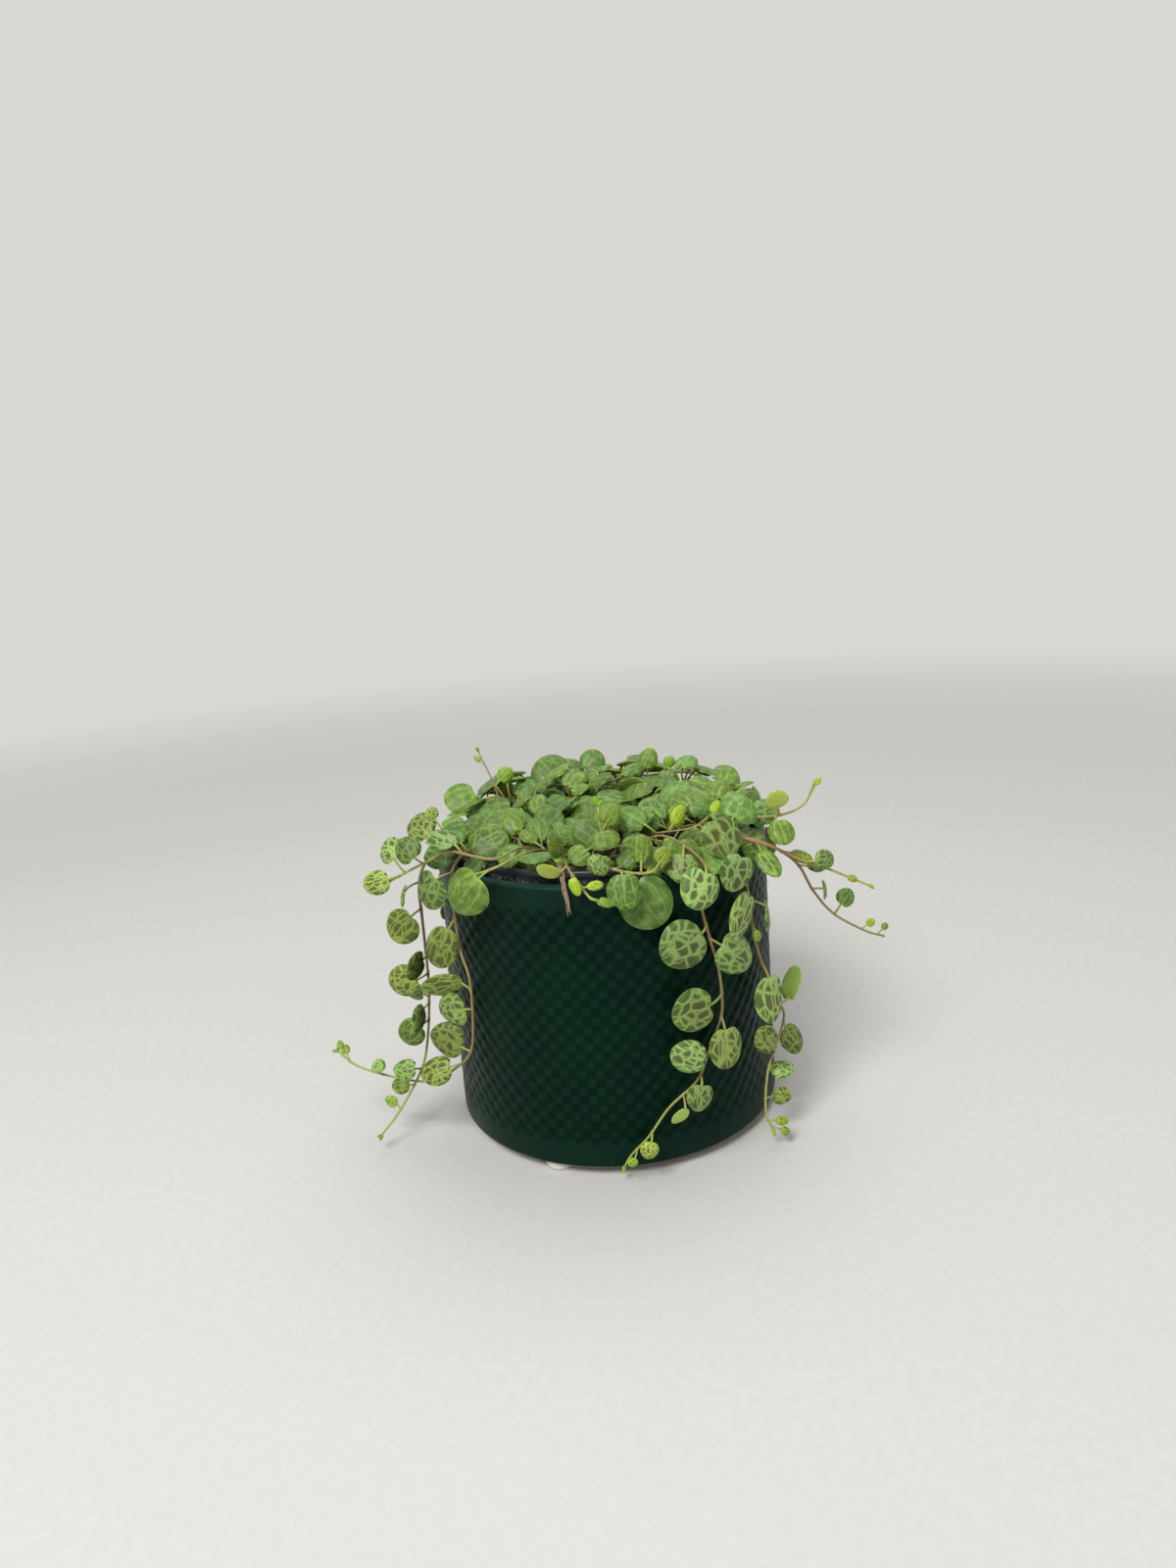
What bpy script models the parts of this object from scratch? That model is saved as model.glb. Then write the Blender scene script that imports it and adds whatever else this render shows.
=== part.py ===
"""A string of turtles (a trailing plant with round, fleshy leaves) in its nursery pot and cover pot.

The frame: +Z up, the pot's axis on Z, the surface that the object stands on at Z = 0, and -Y the side
with the bare stretch of rim. Lengths in the tables are millimetres and angles are degrees.
"""

import math
import random
from collections import namedtuple

import bmesh
import bpy
from mathutils import Quaternion, Vector
from mathutils.bvhtree import BVHTree

MM = 0.001
GAP = 0.3
UP = Vector((0.0, 0.0, 1.0))
SMOOTH_ANGLE = 40.0

# Foot pads
PAD_DIAMETER = 9.5
PAD_HEIGHT = 3.0
PAD_CIRCLE_RADIUS = 51.2
PAD_AZIMUTHS = (-115.0, 0.0, 125.0)
PAD_SEGMENTS = 20

# Cover pot: a straight glazed cylinder
COVER_RADIUS = 57.5
COVER_BASE = PAD_HEIGHT
COVER_RIM = 100.0
COVER_WALL = 4.0
COVER_FLOOR = 5.0
COVER_LIP_ROUND = 1.6
COVER_BASE_ROUND = 1.8
COVER_SEGMENTS = 56

# Nursery pot: thin tapered plastic with a deep rim band
NURSERY_BASE = COVER_BASE + COVER_FLOOR + GAP
NURSERY_RIM = 103.0
NURSERY_BASE_RADIUS = 38.0
NURSERY_TOP_RADIUS = 50.3
NURSERY_BAND_RADIUS = 52.4
NURSERY_BAND_HEIGHT = 9.0
NURSERY_WALL = 1.2
NURSERY_SEGMENTS = 48
DRAIN_HOLES = 4
DRAIN_RADIUS = 3.5
DRAIN_CIRCLE_RADIUS = 22.0
DRAIN_FIRST_AZIMUTH = 45.0
DRAIN_SEGMENTS = 12

# Potting mix
SOIL_LEVEL = 96.0
SOIL_WAVE = 0.6
SOIL_WAVES_ROUND = 3
SOIL_RINGS = (0.93, 0.7, 0.4)
SOIL_SEGMENTS = 28

# Withered stalk over the front rim
STALK_WIDTH = 2.6
STALK_THICKNESS = 0.9
STALK_RING_STEP = 5
STALK_ROUTE = [
    (-108, 45, 97.6), (-106.5, 48.5, 103.5), (-104.5, 53, 105.5), (-102.8, 56.8, 104.3),
    (-101.8, 59.3, 100), (-101.2, 59.6, 95.8), (-100.8, 59.9, 91.5),
]

# Stems and leaves; a station is one step along a stem
STEM_STEP = 0.5
STEM_SIDES = 4
STEM_RADIUS = 0.62
STEM_TIP_RADIUS = 0.4
STEM_UPRIGHT = 3.0
STEM_BEND = 24.0
STEM_LONGEST_SPAN = 12.0
STEM_FOOT = 2
ROOT_SPACING = 4
PETIOLE = 2.6
PETIOLE_LONGEST = 9.0
PETIOLE_HALF_WIDTH = 0.42
LEAF_THICKNESS = 1.3
LEAF_DROOP = 0.07
LARGE_LEAF = 9.0
# How far a leaf may move, tilt and shrink to find room, and how many times it tries
LEAF_SHIFT = 4.0
LEAF_TILT = 40.0
LEAF_SHRINK = 0.35
PLACED_TRIES = 80
TRAILING_TRIES = 40
CROWN_TRIES = 30
NEAREST_STEMS = 3
OLD_WOOD_PREFERENCE = 0.02
# Cross-sections from the petiole to the tip: distance along, half width and thickness, as fractions
LARGE_BLADE = ((0.10, 0.34, 0.55), (0.42, 0.50, 1.0), (0.80, 0.36, 0.75))
SMALL_BLADE = ((0.26, 0.46, 0.9), (0.72, 0.40, 0.8))

# Each route: (azimuth, radius, height) from the potting mix to the tip; each leaf: centre as
# (azimuth, radius, height), width, length, and the azimuth and elevation that its upper face looks to
NAMED_VINES = {
    "vine_right_front_trailer": (
        [(-75, 33, 0), (-70, 45, 109), (-66, 54, 110.5), (-60, 60, 104), (-59.5, 62, 99), (-62, 62, 91),
         (-60, 62, 80), (-57, 62, 67), (-56.5, 62, 54), (-59, 62, 47), (-63, 62, 39), (-67, 62, 32),
         (-76, 61.5, 25), (-82.5, 61, 16), (-88, 60.5, 10), (-90.5, 60, 5.5)],
        [(-64, 66, 97, 13, 13, -70, 15), (-70, 65, 80, 15.5, 15, -77, 8),
         (-53, 65, 72, 13, 15.5, -60, 5), (-68, 65, 58, 14.5, 14, -74, 0), (-58, 65, 42, 12, 14.5, -66, 5),
         (-70, 65, 43, 10.5, 12.5, -76, 10), (-67.5, 65, 28, 9, 9.5, -75, 5),
         (-73.5, 64, 23, 5, 8, 100, 25), (-83, 64, 13, 6, 6, -85, 10), (-88, 63.5, 9, 3.5, 3.5, -88, 0)],
    ),
    "vine_right_edge_trailer": (
        [(-44, 26, 0), (-47, 43, 109), (-48, 56, 107), (-46, 61.5, 99), (-43, 62.5, 86), (-42, 62.5, 75),
         (-38, 62.5, 63), (-33, 64.5, 48), (-30.5, 66, 41), (-33.5, 64.5, 32), (-40, 64.5, 25),
         (-44, 66, 13), (-43, 68, 6)],
        [(-52, 66, 99, 10.5, 12.5, -78, 10), (-50, 65.5, 84, 12, 16.5, -42, 0),
         (-39, 66, 80, 10, 11, -8, 5), (-44, 65.5, 75, 3, 4, -80, 10),
         (-39, 66, 51, 12, 17, -58, 5), (-25.5, 67.7, 49.5, 8, 13, 37, -29),
         (-28, 67.5, 31, 8.5, 12, -65, 10), (-42, 66, 38, 9, 11, -62, 0), (-34, 66, 23, 7, 8.5, -90, 60),
         (-36, 67, 14, 6.5, 6.5, -82, 5), (-41, 70, 9, 3, 4.5, -80, 30), (-41, 71, 5.5, 3, 3.5, -80, 30)],
    ),
    "vine_left_trailer": (
        [(-150, 24, 0), (-154, 42, 110), (-157, 56, 108), (-159, 63.5, 100), (-160, 66, 92), (-161, 66, 82),
         (-162, 66, 68), (-162, 66.5, 54), (-162, 69, 36), (-160, 73, 26), (-160, 82, 13),
         (-159, 89.5, 6.5)],
        [(-151, 76, 93, 8, 10, -170, 5), (-159, 73.5, 80, 12.5, 12.5, -108, 5),
         (-155, 71.5, 67, 9, 13, -20, 0), (-160, 75, 60, 11.5, 11.5, -104, 5),
         (-167, 71, 52, 7, 9, -120, 0), (-157, 72, 47, 8, 12, -15, 10), (-160, 74.5, 41, 10, 10, -104, 8),
         (-157, 79, 30, 7, 9, -105, 30), (-163, 80, 20, 6, 7, -100, 25), (-163, 84, 15, 4, 5, -100, 20)],
    ),
    "vine_left_sweeping": (
        [(-128, 25, 0), (-136, 42, 109), (-141, 56, 107), (-143, 61.5, 99), (-143, 61.5, 86),
         (-141.5, 61.5, 74), (-138.5, 61.5, 66), (-139, 61.5, 52), (-142, 61.5, 39), (-150, 63, 30),
         (-155, 70, 24.5), (-159, 79, 25), (-166, 93, 28), (-170, 100, 32)],
        [(-146, 65.5, 77, 12, 16.5, -115, 8), (-148, 66, 61.5, 9, 15.5, -95, -15),
         (-146, 64, 54, 12.5, 12.5, -122, 0), (-148, 66.5, 42, 13, 13, -108, 5),
         (-153, 69.5, 29, 10, 12.5, -110, 35), (-161, 87, 31, 5, 5, -100, 45),
         (-168.5, 97, 33.5, 3, 4, -100, 50), (-170.5, 99, 34, 2.5, 3.5, -100, 50)],
    ),
    "vine_left_arch": (
        [(-116, 34, 0), (-120, 48, 109), (-124, 60, 108.5), (-137, 65, 110.5), (-143, 68, 107),
         (-147, 74, 103.5), (-150, 78.5, 100.5)],
        [(-150, 83, 101, 8, 10.5, -112, 10), (-150, 77, 110.5, 9, 9, -120, 30),
         (-145, 74, 111.5, 9, 9, -105, 25), (-140, 64, 114, 10, 13, -90, 70)],
    ),
    "vine_left_front_leaves": (
        [(-110, 30, 0), (-114, 46, 108), (-119, 55, 108), (-123, 59.5, 106), (-128, 62.5, 104)],
        [(-130, 66.5, 98.5, 15, 15.5, -118, 8)],
    ),
    "vine_front_shoot": (
        [(-100, 36, 0), (-104, 47, 106.5), (-101, 56, 105.5), (-97, 60, 101.5), (-94.5, 61.5, 98),
         (-92, 62, 96.5)],
        [(-104, 59, 104, 8.5, 9, 70, 30), (-98, 63, 102, 3.5, 6, -100, 20), (-90.5, 63, 97, 3, 5, -90, 30),
         (-92.5, 63, 102, 3, 5, -90, 20)],
    ),
    "vine_front_rim": (
        [(-86, 28, 0), (-93, 46, 107.5), (-91.5, 55, 106.5), (-84, 58.5, 104), (-77, 59.5, 103),
         (-73.5, 59.5, 104.5)],
        [(-85, 65.5, 100.5, 10.5, 11, -87, 20), (-72.5, 60.5, 108, 5.5, 5.5, -82, 10),
         (-78, 57.5, 110, 6.5, 9, -85, 15), (-92, 60, 107.5, 6, 7.5, -95, 15)],
    ),
    "vine_right_upper_shoot": (
        [(-14, 27, 0), (-26, 43, 109), (-34, 57, 110.5), (-32, 68, 111.5), (-28, 74, 114), (-27, 77, 120)],
        [(-36, 69, 118, 7.5, 8, 95, 25), (-37, 71, 108, 8.5, 9.5, -88, 45), (-28, 79, 122, 2, 3, -90, 20)],
    ),
    "vine_right_middle_shoot": (
        [(-34, 27, 0), (-40, 42, 107.5), (-42, 57, 106.5), (-38, 68, 103), (-34, 75.5, 98), (-30, 84, 93.5),
         (-27, 94, 88)],
        [(-32, 82, 98, 6.5, 6.5, -85, 15), (-41, 69, 99, 7, 11, -85, 45), (-29, 90, 92, 2.5, 3.5, -90, 20)],
    ),
    "vine_right_lower_shoot": (
        [(-22, 33, 0), (-34, 46, 106), (-36.5, 58, 104.5), (-34, 67, 101), (-29, 72, 94), (-22, 74.5, 82),
         (-14, 80, 70), (-6, 91, 59), (-1, 98, 53.5)],
        [(-26, 75.5, 92, 7, 8, -90, 70), (-31.5, 73.5, 98, 5, 8, -70, 50), (-18.5, 77.5, 81, 7, 9, -12, 5),
         (-12, 84, 75, 6.7, 6.7, -82, 15), (-6, 92.5, 61.5, 3, 3.5, -85, 30),
         (-2, 97.5, 56, 3, 3.5, -90, 30)],
    ),
    "vine_back_right_shoot": (
        [(108, 16, 0), (92, 26, 110), (66, 33, 111.5), (50, 40, 112.5), (40, 46.5, 115.5)],
        [(57, 37, 118, 7.5, 8.5, -100, 20), (47, 41, 116.5, 4.5, 4.5, -90, 10),
         (63, 33, 115, 6, 9, -90, 40), (42, 36, 111, 8, 9, -90, 55)],
    ),
    "vine_mound_front_shoot": (
        [(-70, 24, 0), (-82, 38, 105), (-88.5, 44, 109), (-90, 42, 115), (-90, 40, 120.5)],
        [(-87, 42.5, 116.5, 7, 8, -90, 12), (-91, 39, 121.5, 2.5, 3.5, -90, 30)],
    ),
    "vine_mound_right_shoot": (
        [(-50, 26, 0), (-62, 38, 107), (-66, 46, 110.5), (-56, 51.5, 111.5), (-52, 55, 115),
         (-51, 57, 117.5)],
        [(-50.5, 58, 119.5, 3, 5, -80, 30), (-59, 48, 115.5, 4.5, 7, -75, 12)],
    ),
    "vine_back_left_shoot": (
        [(172, 26, 0), (167, 34, 107), (163, 39, 119), (164, 43, 130)],
        [(157, 35.5, 120, 6, 6.5, -85, 15), (162, 44, 127, 2, 3.5, -90, 30)],
    ),
}

# Leaves of the mound that stand out: any stem in reach carries them
MOUND_LEAVES = [
    (-78.5, 61.5, 94.2, 18, 18, -84, 8), (-143, 69, 97, 13, 13, -126, 5),
    (-51, 60, 108, 14, 14, -72, 30), (-65, 57, 105, 15, 13.5, -75, 38), (21, 39.5, 108.5, 13, 12, -95, 38),
    (3, 43, 109.5, 11, 11, -95, 50), (-1, 51, 111.5, 5, 6, -90, 10), (114, 44, 114.5, 16, 12.5, -90, 38),
    (91, 48, 115, 10.5, 10, -90, 32), (161, 53, 112, 13.5, 12, -90, 42), (-166, 62, 111, 11, 11, -110, 40),
    (-136, 50, 111, 15, 13, -95, 45), (-150, 55, 111, 9, 12, -82, 35), (-88, 49, 110, 12, 9, -90, 50),
    (-97.2, 51.5, 107.5, 8.5, 7.5, -90, 50), (-112, 54, 108.5, 13, 11, 90, 86),
    (-104, 54, 111.5, 9, 10.5, -35, 10), (-124, 52, 107.5, 8.5, 8.5, -110, 45),
    (-85, 25, 112, 7.5, 8.5, -90, 12),
    (-73, 41, 112, 11, 12, -80, 35), (-51, 40, 113, 4.5, 7, -60, 12), (-37, 56, 114, 13, 10, -85, 45),
    (-27, 61, 111, 9, 9, -85, 35), (35, 32, 111, 10.5, 9, -90, 60), (-159, 59, 117, 4.5, 4.5, -90, 12),
    (139, 34, 112, 10, 13, -60, 58), (-141, 37, 112, 9, 9, -90, 40), (-144, 22, 111, 9, 9, -90, 45),
]

# Trailing stems behind the pot: azimuth at the rim, sideways drift, lowest height, largest leaf
BACK_TRAILERS = [
    (18, 8, 62, 12), (44, -6, 34, 14), (70, 7, 52, 12), (97, -8, 24, 14), (124, 6, 60, 13),
    (152, 8, 40, 13),
]
# Stems that reach out from the back of the mound: azimuth, reach, lowest height
BACK_SHOOTS = [(80, 63, 97.5)]
BACK_SHOOT_LEAF = 9.0
BARE_START = 30.0
BACK_RIM = (62.2, 99.0)
BACK_STEPS = 4

# The mound over the pot
CROWN_STEMS = 18
CROWN_STEM_TRIES = 40
CROWN_START = 13.0
CROWN_REACH = (44.0, 57.0)
CROWN_HEIGHT = 105.5
CROWN_LEAVES = 180
CROWN_RADIUS = 61.0
CROWN_LEAF_WIDTHS = (7.5, 9.5, 11, 12, 13.5)
CROWN_LEAF_HEIGHT = 109.5
CROWN_SHOULDER = 48.0
CROWN_FALL = 0.35
BARE_RIM = (-128, -92)
BARE_RIM_RADIUS = 47.0
GOLDEN_ANGLE = 137.508
GROWTH_SEED = 7

PAD_COLOUR = (0.80, 0.79, 0.74, 1.0)
GLAZE_COLOUR = (0.008, 0.035, 0.028, 1.0)
PLASTIC_COLOUR = (0.02, 0.02, 0.022, 1.0)
SOIL_COLOUR = (0.035, 0.025, 0.018, 1.0)
STALK_COLOUR = (0.24, 0.14, 0.08, 1.0)
LEAF_COLOUR = (0.16, 0.27, 0.07, 1.0)

Leaf = namedtuple("Leaf", "station root base tip face width")


class Stem:
    """A named stem: its axis as closely spaced points, and the stations that already carry a leaf."""

    def __init__(self, name, line):
        self.name = name
        self.line = line
        self.leaves = []

    def radius(self, station):
        share = station / (len(self.line) - 1)
        return (STEM_RADIUS + (STEM_TIP_RADIUS - STEM_RADIUS) * share) * MM

    def tangent(self, station):
        """The way that the stem grows at a station; its foot stands flat on the potting mix."""
        if station == 0:
            return UP
        last = min(len(self.line) - 1, station + 1)
        return (self.line[last] - self.line[station - 1]).normalized()

    def is_free(self, station):
        inside = ROOT_SPACING <= station <= len(self.line) - ROOT_SPACING
        return inside and all(abs(station - leaf.station) >= ROOT_SPACING for leaf in self.leaves)


class Clearance:
    """The solids placed so far, and whether a new one would touch any of them."""

    def __init__(self):
        self.solids = []

    @staticmethod
    def ball(points):
        middle = sum(points, Vector()) / len(points)
        return middle, max((p - middle).length for p in points)

    def add(self, points, faces):
        self.solids.append((*self.ball(points), BVHTree.FromPolygons(points, faces)))

    def is_clear(self, points, faces):
        middle, reach = self.ball(points)
        tree = BVHTree.FromPolygons(points, faces)
        return not any(
            (centre - middle).length < radius + reach and solid.overlap(tree)
            for centre, radius, solid in self.solids
        )


def polar(azimuth, radius, height):
    """The point, in metres, at a bearing round the pot's axis, a radius and a height."""
    turn = math.radians(azimuth)
    return Vector((radius * math.cos(turn), radius * math.sin(turn), height)) * MM


def direction(azimuth, elevation):
    turn, rise = math.radians(azimuth), math.radians(elevation)
    flat = math.cos(rise)
    return Vector((flat * math.cos(turn), flat * math.sin(turn), math.sin(rise)))


def smooth_line(points):
    """Closely spaced points on one smooth curve through the given ones (Catmull-Rom)."""
    padded = [2 * points[0] - points[1], *points, 2 * points[-1] - points[-2]]
    line = []
    for a, b, c, d in zip(padded, padded[1:], padded[2:], padded[3:]):
        count = max(1, round((c - b).length / (STEM_STEP * MM)))
        for k in range(count):
            t = k / count
            bend = (2 * a - 5 * b + 4 * c - d) * t * t + (3 * b - a - 3 * c + d) * t**3
            line.append(0.5 * (2 * b + (c - a) * t + bend))
    line.append(points[-1])
    return line


# Turned pieces


def turned_mesh(name, profile, segments):
    """A closed solid turned about Z from (radius, height) points that start and end on the axis."""
    bm = bmesh.new()
    rings = []
    for radius, height in profile:
        if radius == 0:
            rings.append([bm.verts.new((0, 0, height * MM))])
            continue
        turns = (360 * k / segments for k in range(segments))
        rings.append([bm.verts.new(polar(turn, radius, height)) for turn in turns])
    for lower, upper in zip(rings, rings[1:]):
        for k in range(segments):
            n = (k + 1) % segments
            below = [lower[k % len(lower)], lower[n % len(lower)]]
            above = [upper[n % len(upper)], upper[k % len(upper)]]
            bm.faces.new(list(dict.fromkeys(below + above)))
    return finished_mesh(name, bm)


def join_rings(bm, lower, upper):
    """A band of four-sided faces between two rings with as many points."""
    for k in range(len(lower)):
        n = (k + 1) % len(lower)
        bm.faces.new((lower[k], lower[n], upper[n], upper[k]))


def close_to_point(bm, ring, point):
    """A fan of triangles from a ring to one point."""
    end = bm.verts.new(point)
    for k in range(len(ring)):
        bm.faces.new((ring[k], ring[(k + 1) % len(ring)], end))


def finished_mesh(name, bm):
    bmesh.ops.recalc_face_normals(bm, faces=bm.faces)
    mesh = bpy.data.meshes.new(name)
    bm.to_mesh(mesh)
    bm.free()
    mesh.shade_smooth()
    mesh.set_sharp_from_angle(angle=math.radians(SMOOTH_ANGLE))
    return mesh


def cover_pot_profile():
    inner = COVER_RADIUS - COVER_WALL
    floor = COVER_BASE + COVER_FLOOR
    shoulder = COVER_RIM - COVER_LIP_ROUND / 4
    return [
        (0, COVER_BASE),
        (COVER_RADIUS - 0.7 * COVER_BASE_ROUND, COVER_BASE),
        (COVER_RADIUS - 0.2 * COVER_BASE_ROUND, COVER_BASE + COVER_BASE_ROUND / 3),
        (COVER_RADIUS, COVER_BASE + COVER_BASE_ROUND),
        (COVER_RADIUS, COVER_RIM - COVER_LIP_ROUND),
        (COVER_RADIUS - 0.4 * COVER_LIP_ROUND, shoulder),
        (COVER_RADIUS - COVER_WALL / 2, COVER_RIM),
        (inner + 0.4 * COVER_LIP_ROUND, shoulder),
        (inner, COVER_RIM - COVER_LIP_ROUND),
        (inner, floor + COVER_WALL),
        (inner - COVER_WALL, floor),
        (0, floor),
    ]


def nursery_inner_radius(height):
    """Inner radius of the nursery pot's tapered wall at a height."""
    span = NURSERY_RIM - NURSERY_BAND_HEIGHT - NURSERY_BASE
    share = min(1.0, (height - NURSERY_BASE) / span)
    outer = NURSERY_BASE_RADIUS + (NURSERY_TOP_RADIUS - NURSERY_BASE_RADIUS) * share
    return outer - NURSERY_WALL


def nursery_pot_profile():
    band = NURSERY_RIM - NURSERY_BAND_HEIGHT
    floor = NURSERY_BASE + NURSERY_WALL
    return [
        (0, NURSERY_BASE),
        (NURSERY_BASE_RADIUS, NURSERY_BASE),
        (NURSERY_TOP_RADIUS, band),
        (NURSERY_BAND_RADIUS, band),
        (NURSERY_BAND_RADIUS, NURSERY_RIM - NURSERY_WALL / 2),
        (NURSERY_BAND_RADIUS - NURSERY_WALL / 2, NURSERY_RIM),
        (NURSERY_BAND_RADIUS - NURSERY_WALL, NURSERY_RIM - NURSERY_WALL / 2),
        (NURSERY_TOP_RADIUS - 0.2, band + NURSERY_WALL),
        (nursery_inner_radius(band - 1), band - 1),
        (nursery_inner_radius(floor), floor),
        (0, floor),
    ]


def cut_drain_holes(pot):
    """Drain holes through the nursery pot's floor, as one cutter made of separate cylinders."""
    bm = bmesh.new()
    radius, depth = DRAIN_RADIUS * MM, 5 * NURSERY_WALL * MM
    for k in range(DRAIN_HOLES):
        azimuth = DRAIN_FIRST_AZIMUTH + 360 * k / DRAIN_HOLES
        made = bmesh.ops.create_cone(
            bm, cap_ends=True, segments=DRAIN_SEGMENTS, radius1=radius, radius2=radius, depth=depth
        )
        centre = polar(azimuth, DRAIN_CIRCLE_RADIUS, NURSERY_BASE)
        bmesh.ops.translate(bm, verts=made["verts"], vec=centre)
    cutter = add_object("drain_hole_cutter", finished_mesh("drain_hole_cutter", bm), None)
    cutter.hide_render = True
    cutter.display_type = "WIRE"
    cut = pot.modifiers.new("drain holes", "BOOLEAN")
    cut.operation = "DIFFERENCE"
    cut.object = cutter


def soil_mesh():
    """Potting mix that fills the nursery pot, its top in low waves."""
    bm = bmesh.new()
    floor = NURSERY_BASE + NURSERY_WALL + GAP
    shoulder = SOIL_LEVEL - 2
    top_radius = nursery_inner_radius(shoulder) - GAP
    profile = [(nursery_inner_radius(floor) - GAP, floor, 0), (top_radius, shoulder, 0)]
    profile += [(top_radius * share, SOIL_LEVEL, SOIL_WAVE) for share in SOIL_RINGS]
    rings = []
    for level, (radius, height, wave) in enumerate(profile):
        ring = []
        for k in range(SOIL_SEGMENTS):
            turn = 2 * math.pi * k / SOIL_SEGMENTS
            swell = wave * math.sin(SOIL_WAVES_ROUND * turn + level)
            ring.append(bm.verts.new(polar(math.degrees(turn), radius, height + swell)))
        rings.append(ring)
    for lower, upper in zip(rings, rings[1:]):
        join_rings(bm, lower, upper)
    bm.faces.new(rings[0][::-1])
    close_to_point(bm, rings[-1], Vector((0, 0, SOIL_LEVEL * MM)))
    return finished_mesh("soil", bm)


# Layout of the plant


def tube_points(stem, grow, stations):
    """Rings of points round a stem's axis at the stations, each ring turned as little as possible."""
    rings = []
    side = stem.tangent(stations[0]).orthogonal().normalized()
    for station in stations:
        along = stem.tangent(station)
        side = (side - along * side.dot(along)).normalized()
        other = along.cross(side)
        radius = stem.radius(station) + grow * MM
        ring = []
        for k in range(STEM_SIDES):
            turn = 2 * math.pi * (k + 0.5) / STEM_SIDES
            ring.append(stem.line[station] + (side * math.cos(turn) + other * math.sin(turn)) * radius)
        rings.append(ring)
    return rings


def band_faces(rings):
    """Faces, as point numbers, between each ring of four points and the next."""
    faces = []
    for first in range(0, 4 * (rings - 1), 4):
        for i in range(4):
            n = (i + 1) % 4
            faces.append((first + i, first + n, first + 4 + n, first + 4 + i))
    return faces


def stem_hull(stem):
    """A stem's tube a little thicker than it is, for asking what it would touch."""
    rings = tube_points(stem, GAP, range(STEM_FOOT, len(stem.line), ROOT_SPACING))
    return [p for ring in rings for p in ring], band_faces(len(rings))


def blade_rings(leaf, grow=0.0):
    """Cross-sections of a leaf from its petiole towards its tip: right, top, left and bottom points."""
    along = leaf.tip - leaf.base
    length = along.length
    along.normalize()
    across = leaf.face.cross(along)
    shape = LARGE_BLADE if leaf.width > LARGE_LEAF * MM else SMALL_BLADE
    stub = PETIOLE_HALF_WIDTH * MM + grow
    rings = [[leaf.base + side * stub for side in (across, leaf.face, -across, -leaf.face)]]
    for at, half_width, thick in shape:
        middle = leaf.base + along * length * at
        wide = across * (leaf.width * half_width + grow)
        droop = leaf.face * leaf.width * LEAF_DROOP
        depth = leaf.face * (LEAF_THICKNESS * MM * thick / 2 + grow)
        rings.append([middle + wide - droop, middle + depth, middle - wide - droop, middle - depth])
    return rings


def leaf_hull(leaf):
    """A leaf and its petiole a little larger than they are, for asking what they would touch."""
    grow = GAP * MM
    way = (leaf.base - leaf.root).normalized()
    start = leaf.root + way * (STEM_RADIUS + 3 * GAP) * MM
    side = way.orthogonal().normalized() * (PETIOLE_HALF_WIDTH * MM + grow)
    other = way.cross(side)
    points = [start + side, start + other, start - side, start - other]
    for ring in blade_rings(leaf, grow):
        points += ring
    faces = band_faces(len(points) // 4)
    tip = len(points)
    faces += [(tip - 4 + i, tip - 4 + (i + 1) % 4, tip) for i in range(4)]
    points.append(leaf.tip + (leaf.tip - leaf.base).normalized() * grow)
    return points, faces


def leaf_on(stem, centre, width, length, face):
    """The leaf at a centre, on the free station of the stem from which it has a natural petiole."""
    reach = (length / 2 + PETIOLE) * MM
    best = None
    for station in range(ROOT_SPACING, len(stem.line) - ROOT_SPACING):
        away = (stem.line[station] - centre).length
        miss = abs(away - reach) + OLD_WOOD_PREFERENCE * MM * station
        if (best is None or miss < best[0]) and stem.is_free(station):
            best = (miss, station)
    if best is None:
        return None
    root = stem.line[best[1]]
    along = centre - root
    along -= face * along.dot(face)
    if along.length < length * MM / 4:
        return None
    half = along.normalized() * length * MM / 2
    leaf = Leaf(best[1], root, centre - half, centre + half, face, width * MM)
    return leaf if (leaf.base - root).length < PETIOLE_LONGEST * MM else None


def place_leaf(stems, spot, solids, chance, tries):
    """Add one leaf near its spot, shifted and tilted as little as it takes to be clear of all else."""
    azimuth, radius, height, width, length, face_azimuth, face_elevation = spot
    centre, face = polar(azimuth, radius, height), direction(face_azimuth, face_elevation)
    near = sorted(stems, key=lambda stem: min((p - centre).length for p in stem.line[::ROOT_SPACING]))
    near = near[:NEAREST_STEMS]
    for attempt in range(tries):
        loose = attempt / tries
        shift = Vector([chance.uniform(-1, 1) for _ in range(3)]) * LEAF_SHIFT * loose * MM
        axis = Vector([chance.uniform(-1, 1) for _ in range(3)]).normalized()
        tilted = Quaternion(axis, math.radians(LEAF_TILT) * loose * chance.random()) @ face
        scale = 1 - LEAF_SHRINK * loose * chance.random()
        stem = near[attempt % len(near)]
        leaf = leaf_on(stem, centre + shift, width * scale, length * scale, tilted)
        if leaf is None:
            continue
        hull = leaf_hull(leaf)
        if solids.is_clear(*hull):
            stem.leaves.append(leaf)
            solids.add(*hull)
            return True
    return False


def rooted(route, soil_tree):
    """A route's points, the first one just clear of the potting mix and leaving it upright."""
    points = [polar(*spot) for spot in route]
    above = Vector((points[0].x, points[0].y, COVER_RIM * MM))
    points[0] = soil_tree.ray_cast(above, -UP)[0] + UP * GAP * MM
    points.insert(1, points[0] + UP * STEM_UPRIGHT * MM)
    return points


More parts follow.
